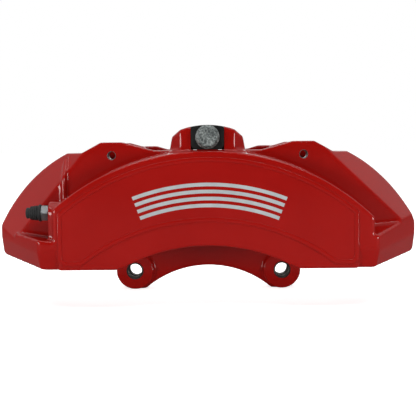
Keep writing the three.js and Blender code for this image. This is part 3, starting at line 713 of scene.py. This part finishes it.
# Machined holes, cut sharp after the casting is rounded
def drillings(sign):
    cut = 1
    tools = []
    bottom = sign * (half["face"] - 7)
    for piston in pistons:
        at = (piston["x"], 0, piston["z"])
        bore = piston["radius"] + gap
        seal = half["inner"] + 4.5
        outline = [(0, sign * (half["inner"] - 2)), (bore + 4.3, sign * (half["inner"] - 2)),
                   (bore + 4.3, sign * (half["inner"] + 3.5)), (bore, sign * (half["inner"] + 3.5)),
                   (bore, sign * seal), (bore + 2.5, sign * seal), (bore + 2.5, sign * (seal + 3)),
                   (bore, sign * (seal + 3)), (bore, bottom), (0, bottom)]
        tools.append(turned(outline, "y", at, 96, None, cut))
    for hand in (left, right):
        at = (hand * half["lugX"], 0, half["lugTop"] - half["pinDrop"])
        tools.append(turned([(0, sign * 22), (half["pinHole"], sign * 22), (half["pinHole"], sign * 41.4),
                             (half["pinHole"] + 0.7, sign * 42.1), (half["pinHole"] + 0.7, sign * 44),
                             (0, sign * 44)], "y", at, 40, None, cut))
    bleedAt = (0, sign * half["bleedY"], half["bleedZ"])
    tools.append(rod(5 + gap, bleedAt, -half["faceLeft"] - 7, -half["faceLeft"] + 14, "x", tag=cut))
    tools.append(block(-200, 200, -sign * 30, sign * gap / 2, 0, 300, cut))
    return tools


def abutmentHoles(sign):
    middle = sign * 28.5
    return [rod(2 + gap, (0, middle, 149), hand * 100, hand * 113, "x", 24, tag=1) for hand in (left, right)]


def foot(sign, hand):
    inner, far, outer, face = half["faceLeft"] - 10, half["length"], half["outer"], half["face"]
    low, high = ends[hand]["ledge"]
    fall = ends[hand]["fall"]
    whole = prism(handed([(inner, half["foot"]), *toe, (far, high), (inner, low)], hand),
                  sign * (outer - 1), sign * face)
    if not fall:
        return whole
    lean = math.atan2(high - low, far - inner)
    up = Vector((-hand * math.sin(lean), 0, math.cos(lean)))
    waste = [(outer, 0), (face + 1, -fall), (face + 1, 1), (outer, 1)]
    at = (hand * (far + inner) / 2, 0, (low + high) / 2)
    return cutBy(whole, bar(waste, far, Vector((0, sign, 0)), up, at))


# Below a crease each foot leans back towards its lower edge, first along the face and then along the sweep
crease = {"height": 118, "rise": 3.6, "lean": 7, "flatTilt": -11, "sweptTilt": 8}


def toeWaste(sign, hand):
    drop = crease["height"] - half["foot"] + 10
    section = [(4, 0), (0, 0), (-crease["lean"], -drop), (4, -drop)]

    def strip(start, end, height, tilt, low, high):
        length = math.dist(start, end)
        run = Vector((hand * (end[0] - start[0]), sign * (end[1] - start[1]), 0)).normalized()
        outward = Vector((-sign * hand * run.y, sign * hand * run.x, 0))
        turn = math.radians(tilt)
        up = Vector((0, 0, math.cos(turn))) - run * math.sin(turn)
        at = (hand * (start[0] + end[0]) / 2, sign * (start[1] + end[1]) / 2, height + length / 2 * math.tan(turn))
        within = block(hand * low, hand * high, 0, sign * 100, 60, 200)
        return keptWithin(bar(section, 2 * length, outward, up, at), within)

    start, knee, tip = half["faceLeft"] - 4, half["sweepStart"], half["length"]
    face, height = half["face"], crease["height"]
    flat = strip((start, face), (knee, face), height + crease["rise"], crease["flatTilt"], start, knee + gap)
    swept = strip((knee, face), (tip, half["sweepDepth"]), height, crease["sweptTilt"], knee, tip + 5)
    return [flat, swept]


ribLook = {"x": 118, "width": 3.6, "proud": 4, "foot": 130}


# A casting rib on the left of the outer wall, which dies out over the sloping rim
def rib(sign):
    x, proud = ribLook["x"], ribLook["proud"]
    crest = block(-x - ribLook["width"], -x, sign * half["inner"], sign * (half["outer"] + proud),
                  ribLook["foot"], half["shoulder"] - 0.5)
    return cutBy(crest, rimWaste(sign, left, proud))


# The raised panel: a plateau a little lower than the bead that frames it
panel = {"edge": 4, "top": 5.2, "archRise": 22.5, "archShift": -3, "base": 3.9, "corner": 5,
         "plateau": 0.45, "beadWidth": 3.5, "beadHeight": 0.92, "beadRound": 0.4, "inset": 1.75}


def panelOutline(inset):
    wide = half["faceLeft"] - panel["edge"] - inset
    top = half["faceRadius"] - panel["top"] - inset
    sideTop = math.degrees(math.acos(wide / top))
    rise = half["archRadius"] + panel["archRise"] + inset
    middle = half["archCentre"] + panel["archShift"]
    base = half["foot"] + panel["base"] + inset
    reach = math.degrees(math.asin((base - middle) / rise))
    corner = panel["corner"]
    return [(-wide, base + corner), *arc(-wide + corner, base + corner, corner, 185, 265, 1.0),
            (-wide + corner, base), *arc(0, middle, rise, 180 - reach, reach),
            (wide - corner, base), *arc(wide - corner, base + corner, corner, 275, 355, 1.0),
            (wide, base + corner), *arc(0, half["faceCentre"], top, sideTop, 180 - sideTop)]


def raisedPanel():
    plateau = prism(panelOutline(panel["inset"]), -half["face"] + 1, -half["face"] - panel["plateau"], "y", 2)
    path = bpy.data.curves.new("panelPath", "CURVE")
    path.dimensions = "3D"
    points = panelOutline(panel["inset"])
    line = path.splines.new("POLY")
    line.points.add(len(points) - 1)
    for point, (x, z) in zip(line.points, points):
        point.co = (x, -half["face"], z, 1)
    line.use_cyclic_u = True
    bead = runTree(beadTree(), {"Width": panel["beadWidth"], "Height": panel["beadHeight"],
                                "Round": panel["beadRound"]}, path)
    bead.data.materials.clear()
    for finish in castFinishes:
        bead.data.materials.append(finish)
    build = bmesh.new()
    build.from_mesh(bead.data)
    bmesh.ops.remove_doubles(build, verts=build.verts, dist=1e-4)
    bmesh.ops.recalc_face_normals(build, faces=build.faces)
    for face in build.faces:
        face.material_index = 2
    build.to_mesh(bead.data)
    build.free()
    return plateau, bead


def makeOutboardHalf():
    sign = outboard
    shelf = [(half["lugX"] - half["lugHalf"] - 26, 200)]
    body = joined(
        prism(archBlock(half["faceLeft"], half["faceRight"]), sign * half["inner"], sign * half["face"]),
        wallAndEnds(sign, shelf), *pinLugs(sign), *[foot(sign, hand) for hand in (left, right)],
        rib(sign), bridgeBoss(sign), bleedBoss(sign))
    keptWithin(body, prism(sweepPlan(sign, half["face"], half["sweepStart"], half["sweepDepth"]), 0, 260, "z"))
    cutBy(body, rod(half["rim"], (0, 0, 0), -sign * 6, sign * half["disc"], steps=360),
          *[tool for hand in (left, right) for tool in toeWaste(sign, hand)])
    cast(body)
    joined(body, *raisedPanel())
    holes = [rod(6 + gap, (bolt["x"], 0, bolt["z"]), sign * -4, sign * 28.3, tag=1) for bolt in bodyBolts]
    cutBy(body, *bridgeSlot(sign), *drillings(sign), *abutmentHoles(sign), *holes,
          rod(5 + gap, (0, 0, bridge["boltZ"]), sign * 24, sign * bridge["depth"], tag=1))
    return body


outboardHalf = makeOutboardHalf()
settle(outboardHalf, "outboard_half_cast", "caliper_body", replaced=["outboard_half"], angle=50)
print("outboard half:", len(outboardHalf.data.polygons), "faces")


def makeInboardHalf():
    sign = inboard
    x, top, run = half["lugX"], half["lugTop"], half["lugHalf"]
    shelf = [(x - run - 5, top - 3), (x - run - 24, top - 3), (x - run - 34, top - 6)]
    earX, earZ, earRadius = half["earX"], half["earZ"], half["earRadius"]
    web = [(-earX, earZ - earRadius), (earX, earZ - earRadius), (earX + earRadius, earZ),
           (earX + earRadius + 9, half["foot"] + 25), (-earX - earRadius - 9, half["foot"] + 25),
           (-earX - earRadius, earZ)]
    back = half["backDepth"]
    body = joined(
        prism(archBlock(half["faceLeft"], half["backRight"]), sign * half["inner"], sign * back),
        wallAndEnds(sign, shelf), *pinLugs(sign), bridgeBoss(sign),
        prism(web, sign * (half["earFront"] + 4), sign * (back - 4)))
    plan = sweepPlan(sign, back, half["backSweepStart"], half["backSweepDepth"])
    keptWithin(body, prism(plan, 0, 260, "z"))
    ears = [rod(earRadius, (hand * earX, 0, earZ), half["earFront"] - 0.6, half["earFront"] + half["earThick"] + 0.6)
            for hand in (left, right)]
    cylinders = [rod(piston["radius"] + 6.5, (piston["x"], 0, piston["z"]), back - 4, half["front"],
                     endRadius=piston["radius"] + 2.5) for piston in pistons]
    joined(body, *ears, *cylinders, bleedBoss(sign),
           rod(12, (half["inletX"], 0, half["inletZ"]), half["outer"] - 2, half["inletDepth"] + 0.6))
    cutBy(body, rod(half["web"], (0, 0, 0), 0, 90, steps=240),
          rod(half["rim"], (0, 0, 0), -6, half["disc"], steps=360))
    cast(body)
    holes = []
    for bolt in bodyBolts:
        at = (bolt["x"], 0, bolt["z"])
        holes += [rod(6 + gap, at, -4, half["outer"] + 1, tag=1), rod(10.6, at, 30, 80, tag=1)]
    earFaces = []
    for hand in (left, right):
        at = (hand * earX, 0, earZ)
        low, high = half["earFront"], half["earFront"] + half["earThick"]
        earFaces.append(rod(earRadius + 4, at, high, high + 8, tag=1))
        earFaces.append(turned([(0, 20), (half["earHole"] + 1, 20), (half["earHole"] + 1, low),
                                (half["earHole"], low + 1), (half["earHole"], high - 1),
                                (half["earHole"] + 1, high), (half["earHole"] + 1, 80), (0, 80)],
                               "y", at, 64, None, 1))
    inletAt = (half["inletX"], 0, half["inletZ"])
    cutBy(body, *bridgeSlot(sign), *drillings(sign), *abutmentHoles(sign), *holes, *earFaces,
          rod(14, inletAt, half["inletDepth"], 80, tag=1),
          turned([(0, 52), (5, 52), (5, 65), (6, 66.2), (6, 75), (0, 75)], "y", inletAt, 48, None, 1),
          rod(5 + gap, (0, 0, bridge["boltZ"]), 24, bridge["depth"], tag=1))
    return body


inboardHalf = makeInboardHalf()
settle(inboardHalf, "inboard_half_cast", "caliper_body", replaced=["inboard_half"], angle=50)
print("inboard half:", len(inboardHalf.data.polygons), "faces")


# Threads seen in the mounting ears and the hose inlet

def makeThreads():
    tree = threadTree()
    threads = []
    wanted = [(hand * half["earX"], half["earZ"], half["earFront"] + 1.2, 7.0, 21.4, 1.75) for hand in (left, right)]
    wanted.append((half["inletX"], half["inletZ"], 53.5, 5.0, 11.0, 1.0))
    for x, z, start, radius, length, pitch in wanted:
        turns = length / pitch
        ridge = runTree(tree, {"Radius": radius - 0.02, "Turns": turns, "Length": length,
                               "Ridge": pitch * 0.42, "Steps": 40})
        ridge.data.transform(Matrix.Translation((x, start + length, z)) @ Matrix.Rotation(math.radians(90), 4, "X"))
        threads.append(ridge)
    return gathered("threads", threads)


settle(makeThreads(), "mounting_threads", "caliper_body", oiled, angle=20)
print("threads wound")


# Centre bridge: a channel with a closed leg at each end

def makeBridge():
    wide, depth, sole, top = bridge["half"], bridge["depth"], bridge["sole"], bridge["top"]
    radius = half["bossCrown"] - gap
    lean = math.degrees(math.asin(wide / radius))
    crown = arc(0, half["bossTop"] - half["bossCrown"], radius, 90 - lean, 90 + lean)
    whole = prism([(-wide, sole), (wide, sole), *crown], -depth, depth)
    reach = half["bossInner"] - 2 * gap
    inner = wide - bridge["flange"]
    tools = [block(-wide - 1, wide + 1, -reach, reach, sole - 1, bridge["barSole"])]
    corner = bridge["corner"]
    rounded = arc(wide - corner, sole + corner, corner, 270, 360, 0.6)
    waste = [(wide - corner, sole - 1), (wide + 1, sole - 1), (wide + 1, sole + corner), *reversed(rounded)]
    for sign in (outboard, inboard):
        start = sign * (depth - bridge["leg"])
        tools.append(block(-inner, inner, sign * reach, start, sole - 1, top - bridge["web"]))
        tools.append(rod(bridge["boltRadius"] + gap, (0, 0, bridge["boltZ"]), sign * reach, sign * (depth + 1)))
        tools += [prism(handed(waste, hand), start, sign * (depth + 1)) for hand in (left, right)]
    cutBy(whole, *tools)
    return bevel(whole, 0.6, 2, 50)


settle(makeBridge(), "centre_bridge_steel", "caliper_body", black, ["centre_bridge"], 30)
print("bridge made")


# Bolts

# The outline of a hexagon's corner, rounded over at its top
def hexHead(across, low, high, chamfer):
    full = across / math.sqrt(3) + 0.1
    return [(full, low), (full, high - chamfer), (full - 0.35 * chamfer, high - 0.62 * chamfer),
            (full - 0.9 * chamfer, high - 0.25 * chamfer), (full - 1.6 * chamfer, high)]


bridgeBoltLook = {"seat": 61.3, "flange": 3, "head": 6.2, "across": 14.6, "flangeRadius": 9.75, "length": 30,
                  "dish": 0.5}


def makeBridgeBolt(sign):
    look, radius = bridgeBoltLook, bridge["boltRadius"]
    seat, top = look["seat"], look["seat"] + look["flange"] + look["head"]
    flangeTop = seat + look["flange"]
    at = (0, 0, bridge["boltZ"])
    shank = [(0, seat - look["length"]), (radius - 0.8, seat - look["length"]),
             (radius, seat - look["length"] + 0.8), (radius, seat), (look["flangeRadius"] - 0.4, seat),
             (look["flangeRadius"], seat + 0.4), (look["flangeRadius"], seat + 1.1),
             (look["flangeRadius"] - 0.35, seat + 1.6), (8.6, flangeTop - 0.5), (8.0, flangeTop), (0, flangeTop)]
    base = turned([(r, sign * y) for r, y in shank], "y", at, 96)
    head = [(0, flangeTop - 1), *hexHead(look["across"], flangeTop - 1, top, 0.7),
            (4.6, top), (4.2, top - look["dish"]), (0, top - look["dish"])]
    hexagon = turned([(r, sign * y) for r, y in head], "y", at, 96, look["across"])
    return joined(base, hexagon)


for sign, word in sideWords.items():
    settle(makeBridgeBolt(sign), f"bridge_bolt_{word}_head", "caliper_body", zinc,
           [f"bridge_bolt_{word}"], 28)

bodyBoltLook = {"seat": 30.3, "flange": 4, "top": 42, "radius": 6, "flangeRadius": 9.6, "across": 15, "reach": 28}


def makeBodyBolt(bolt):
    look = bodyBoltLook
    at = (bolt["x"], 0, bolt["z"])
    seat, flangeTop, radius, wide = look["seat"], look["seat"] + look["flange"], look["radius"], look["flangeRadius"]
    base = turned([(0, -look["reach"]), (radius - 1, -look["reach"]), (radius, -look["reach"] + 1), (radius, seat),
                   (wide - 0.3, seat), (wide, seat + 0.3), (wide, seat + 1.4), (wide - 0.4, seat + 1.9),
                   (8.4, flangeTop - 0.4), (8, flangeTop), (0, flangeTop)], "y", at, 96)
    head = [(0, flangeTop - 1), *hexHead(look["across"], flangeTop - 1, look["top"], 0.9),
            (4.6, look["top"]), (4.2, look["top"] - 0.5), (0, look["top"] - 0.5)]
    return joined(base, turned(head, "y", at, 96, look["across"]))


for bolt in bodyBolts:
    node = f"body_bolt_{handWords[bolt['hand']]}_{bolt['index']}"
    settle(makeBodyBolt(bolt), node + "_steel", "caliper_body", zinc, [node], 28)
print("bolts made")


# Pistons and boots

pistonLook = {"crown": 34.5, "back": 58, "wall": 4, "chamfer": 0.8, "groove": 0.9}


def makePiston(sign, piston):
    look, radius = pistonLook, piston["radius"]
    crown, back, wall, c = look["crown"], look["back"], look["wall"], look["chamfer"]
    inner = radius - wall
    section = [(0, back), (radius - 1.5, back), (radius, back - 1.5), (radius, crown + 3.6),
               (radius - look["groove"], crown + 3.2), (radius - look["groove"], crown + 1.9),
               (radius, crown + 1.5), (radius, crown + c), (radius - c, crown), (inner + 0.5, crown),
               (inner, crown + 0.5), (inner, back - wall - 3), (inner - 0.9, back - wall - 0.9),
               (inner - 3, back - wall), (0, back - wall)]
    return turned([(r, sign * y) for r, y in section], "y", (piston["x"], 0, piston["z"]), 120)


def makeBoot(sign, piston):
    radius = piston["radius"]
    inner, outer = radius + gap, radius + 4.3
    section = [(inner, 39.2), (outer - 0.3, 39.2), (outer, 38.9), (outer, 36.3), (outer - 0.5, 36.0),
               (outer - 1.1, 36.3), (outer - 1.5, 37.4), (outer - 2.1, 37.8), (outer - 2.7, 37.2),
               (outer - 3.0, 35.7), (inner + 0.5, 34.9), (inner, 35.2)]
    return turned([(r, sign * y) for r, y in section], "y", (piston["x"], 0, piston["z"]), 96)


for sign, word in sideWords.items():
    for i, piston in enumerate(pistons, 1):
        settle(makePiston(sign, piston), f"piston_{word}_{i}_turned", f"piston_{word}_{i}",
               anodised, [f"piston_{word}_{i}"], 28)
        settle(makeBoot(sign, piston), f"dust_boot_{word}_{i}_moulded", "caliper_body",
               sealRubber, [f"dust_boot_{word}_{i}"], 50)
print("pistons made")


# Bleed screws and their caps

bleedLook = {"face": -130.3, "hex": 6, "across": 12, "nipple": 3.2, "barb": 0.7, "cap": 12.5}


def makeBleedScrew(sign):
    look = bleedLook
    at = (0, sign * half["bleedY"], half["bleedZ"])
    face, hexEnd = look["face"], look["face"] - look["hex"]
    tip = hexEnd - look["cap"] + 1.5
    nipple = look["nipple"]
    stem = turned([(0, -112), (1.5, -112), (5, -115), (5, face), (3.4, face), (3.4, hexEnd), (nipple, hexEnd),
                   (nipple, tip + 4.6), (nipple + look["barb"], tip + 4.4), (nipple + look["barb"], tip + 3.4),
                   (nipple - 0.5, tip), (1, tip), (1, tip + 6), (0, tip + 6)], "x", at, 64)
    full = look["across"] / math.sqrt(3) + 0.1
    nut = turned([(0, face), (full - 1.1, face), (full - 0.5, face - 0.25), (full, face - 0.8),
                  (full, hexEnd + 0.8), (full - 0.5, hexEnd + 0.25), (full - 1.1, hexEnd), (0, hexEnd)],
                 "x", at, 96, look["across"])
    return joined(stem, nut)


capLook = {"rings": 4, "ringThickness": 0.62, "pitch": 1.5, "first": 4.95, "growth": 0.2, "start": 4.2}


def makeBleedCap(sign):
    look = capLook
    at = (0, sign * half["bleedY"], half["bleedZ"])
    base = bleedLook["face"] - bleedLook["hex"] - gap
    tip = base - bleedLook["cap"]
    inside = bleedLook["nipple"] + bleedLook["barb"] + gap
    outline = [(0, tip), (3.4, tip), (4.2, tip + 0.4), (4.5, tip + 1.0), (4.5, tip + 1.9), (4.1, tip + 2.5),
               (4.4, tip + 3.0), (5.1, tip + 4.0), (5.7, base - 2.8), (6.2, base - 2.1), (6.8, base - 1.9),
               (7.0, base - 1.4), (7.0, base - 0.4), (6.7, base), (inside, base), (inside, tip + 1.5), (0, tip + 1.5)]
    body = turned(outline, "x", at, 72)
    rings = runTree(ringTree(), {"Count": look["rings"], "Pitch": look["pitch"], "First": look["first"],
                                 "Growth": look["growth"], "Thickness": look["ringThickness"]})
    rings.data.transform(Matrix.Translation((tip + look["start"], at[1], at[2]))
                         @ Matrix.Rotation(math.radians(90), 4, "Y"))
    for piece in (body, rings):
        piece.data.materials.clear()
        piece.data.materials.append(capRubber)
    return gathered("cap", [body, rings])


for sign, word in sideWords.items():
    settle(makeBleedScrew(sign), f"bleed_screw_{word}_plated", f"bleed_screw_{word}", plated,
           [f"bleed_screw_{word}"], 28)
    settle(makeBleedCap(sign), f"bleed_cap_{word}_ribbed", f"bleed_cap_{word}", capRubber,
           [f"bleed_cap_{word}"], 50)
print("bleed screws made")


# Pad abutments

plateLook = {"face": 103.7, "thickness": 1.2, "near": 22, "far": 35, "low": 127, "high": 171, "screwZ": 149}


def makePlate(sign, hand):
    look = plateLook
    outer, inner = look["face"], look["face"] - look["thickness"]
    outline = [(look["near"], look["low"] + 2), (look["near"] + 2, look["low"]), (look["far"] - 2, look["low"]),
               (look["far"], look["low"] + 2), (look["far"], look["high"] - 2), (look["far"] - 2, look["high"]),
               (look["near"] + 2, look["high"]), (look["near"], look["high"] - 2)]
    outline = [(sign * y, z) for y, z in outline]
    plate = prism(outline, hand * inner, hand * outer, "x")
    cutBy(plate, rod(2.3, (0, sign * 28.5, look["screwZ"]), hand * 100, hand * 106, "x", 32))
    return bevel(plate, 0.25, 2, 50)


def makeScrew(sign, hand):
    top = plateLook["face"] - plateLook["thickness"] - gap - 1.6
    at = (0, sign * 28.5, plateLook["screwZ"])
    profile = [(0, top + 9.4), (1.6, top + 9.4), (2, top + 9), (2, top + 1.6), (3.5, top + 1.6), (3.8, top + 1.3),
               (3.8, top + 0.8), (3.3, top + 0.2), (2.6, top), (1.3, top), (1.3, top + 1.1), (0, top + 1.1)]
    return turned([(r, hand * x) for r, x in profile], "x", at, 48)


for sign, word in sideWords.items():
    for hand, handWord in handWords.items():
        settle(makePlate(sign, hand), f"abutment_plate_{word}_{handWord}_sheet", "caliper_body",
               stainless, [f"abutment_plate_{word}_{handWord}"], 30)
        settle(makeScrew(sign, hand), f"abutment_screw_{word}_{handWord}_head", "caliper_body",
               plated, [f"abutment_screw_{word}_{handWord}"], 30)
print("abutments made")


# Printed stripes on the panel: four plain bands that follow its curve

stripes = {"count": 4, "radius": 172.5, "pitch": 5.6, "width": 2.9, "thickness": 0.08, "start": 68.5, "end": 110.5}


def makeStripes():
    tree = stripeTree()
    made = []
    for i in range(stripes["count"]):
        values = {"Radius": stripes["radius"] - i * stripes["pitch"], "Start": math.radians(stripes["start"]),
                  "Sweep": math.radians(stripes["end"] - stripes["start"]), "Width": stripes["width"],
                  "Thickness": stripes["thickness"]}
        stripe = runTree(tree, values)
        stripe.data.transform(Matrix.Translation((0, -half["face"] - panel["plateau"] - 0.03, 0))
                              @ Matrix.Rotation(math.radians(90), 4, "X"))
        made.append(stripe)
    return gathered("stripes", made)


settle(makeStripes(), "panel_stripes", "caliper_body", paleInk, angle=30)
print("stripes printed")

# The seals stay as the frame has them, in rubber
for name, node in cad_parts.items():
    if "seal" in name:
        for place in node.material_slots:
            place.material = sealRubber


# Floor, light and camera

floorLook = {"size": 40.0, "colour": rgb(0.90, 0.90, 0.90), "glow": 0.8, "dim": 0.75}


# The floor glows a little to the camera, and is dimmer in the paint's reflections, as under a studio tent
def makeFloor():
    reach = floorLook["size"]
    mesh = bpy.data.meshes.new("floor")
    mesh.from_pydata([(-reach, -reach, 0), (reach, -reach, 0), (reach, reach, 0), (-reach, reach, 0)], [],
                     [(0, 1, 2, 3)])
    floor = bpy.data.objects.new("floor", mesh)
    scene.collection.objects.link(floor)
    material = bpy.data.materials.new("paleFloor")
    material.use_nodes = True
    material.node_tree.nodes.clear()
    net = Net(material.node_tree)
    ray = net.add("ShaderNodeLightPath")
    flat = net.add("ShaderNodeBsdfDiffuse", None, {"Color": floorLook["colour"]})
    glow = net.add("ShaderNodeEmission", None, {
        "Color": rgb(1, 1, 1), "Strength": ray.out("Is Camera Ray") * floorLook["glow"]})
    bright = net.add("ShaderNodeAddShader", None, {0: flat, 1: glow})
    dark = net.add("ShaderNodeEmission", None, {"Color": rgb(0, 0, 0)})
    shown = net.add("ShaderNodeMixShader", None, {
        0: ray.out("Is Glossy Ray") * floorLook["dim"], 1: bright, 2: dark})
    out = material.node_tree.nodes.new("ShaderNodeOutputMaterial")
    net.feed(shown, out.inputs["Surface"])
    mesh.materials.append(material)


makeFloor()

worldLook = {"seen": 1.0, "round": 0.66, "front": 0.03, "softness": (0.05, 0.70), "low": 0.30, "rise": (0.02, 0.36)}


# Bright all round for reflections, darker in front of the face; the camera sees plain white
def makeWorld():
    world = bpy.data.worlds.new("studio")
    world.use_nodes = True
    scene.world = world
    tree = world.node_tree
    tree.nodes.clear()
    net = Net(tree)
    way = net.add("ShaderNodeTexCoord", None, None, "Generated")
    parts = net.add("ShaderNodeSeparateXYZ", None, {"Vector": way})
    forward = parts.out("Y") * -1
    dark = net.add("ShaderNodeMapRange", {"interpolation_type": "SMOOTHSTEP"}, {
        "Value": forward, "From Min": worldLook["softness"][0], "From Max": worldLook["softness"][1],
        "To Min": worldLook["round"], "To Max": worldLook["front"]})
    height = net.add("ShaderNodeMapRange", {"interpolation_type": "SMOOTHSTEP"}, {
        "Value": parts.out("Z"), "From Min": worldLook["rise"][0], "From Max": worldLook["rise"][1],
        "To Min": worldLook["low"], "To Max": 1.0})
    lit = net.add("ShaderNodeBackground", None, {"Color": rgb(1, 1, 1), "Strength": dark * height})
    seen = net.add("ShaderNodeBackground", None, {"Color": rgb(1, 1, 1), "Strength": worldLook["seen"]})
    ray = net.add("ShaderNodeLightPath", None, None, "Is Camera Ray")
    both = net.add("ShaderNodeMixShader", None, {0: ray, 1: lit, 2: seen})
    out = tree.nodes.new("ShaderNodeOutputWorld")
    net.feed(both, out.inputs["Surface"])


makeWorld()

lamps = [
    {"name": "topSoft", "spot": (0, -0.25, 1.5), "size": (1.8, 1.2), "power": 6},
    {"name": "leftFront", "spot": (-1.25, -1.3, 0.14), "size": (0.8, 0.26), "power": 10},
    {"name": "rightFront", "spot": (1.25, -1.3, 0.14), "size": (0.8, 0.26), "power": 9},
    {"name": "edgeStrip", "spot": (0, -0.75, 1.15), "size": (1.5, 0.07), "power": 4},
    {"name": "backSoft", "spot": (0, 1.5, 1.0), "size": (1.6, 1.0), "power": 6},
]
for look in lamps:
    light = bpy.data.lights.new(look["name"], "AREA")
    light.shape = "RECTANGLE"
    light.size, light.size_y = look["size"]
    light.energy = look["power"]
    lamp = bpy.data.objects.new(look["name"], light)
    lamp.location = look["spot"]
    lamp.rotation_euler = (Vector((0, 0, 0.08)) - Vector(look["spot"])).to_track_quat("-Z", "Y").to_euler()
    scene.collection.objects.link(lamp)

shot = {"lens": 70.44, "back": 0.721, "height": 0.1302, "pitch": 4.08, "roll": 0.5}
view = bpy.data.cameras.new("shot")
view.lens = shot["lens"]
view.sensor_width = 36
camera = bpy.data.objects.new("shot", view)
camera.location = (0, -shot["back"], shot["height"])
camera.rotation_euler = (Matrix.Rotation(math.radians(90 - shot["pitch"]), 3, "X")
                         @ Matrix.Rotation(math.radians(-shot["roll"]), 3, "Z")).to_euler()
scene.collection.objects.link(camera)
scene.camera = camera
scene.view_settings.view_transform = "Standard"
print("light and camera set")
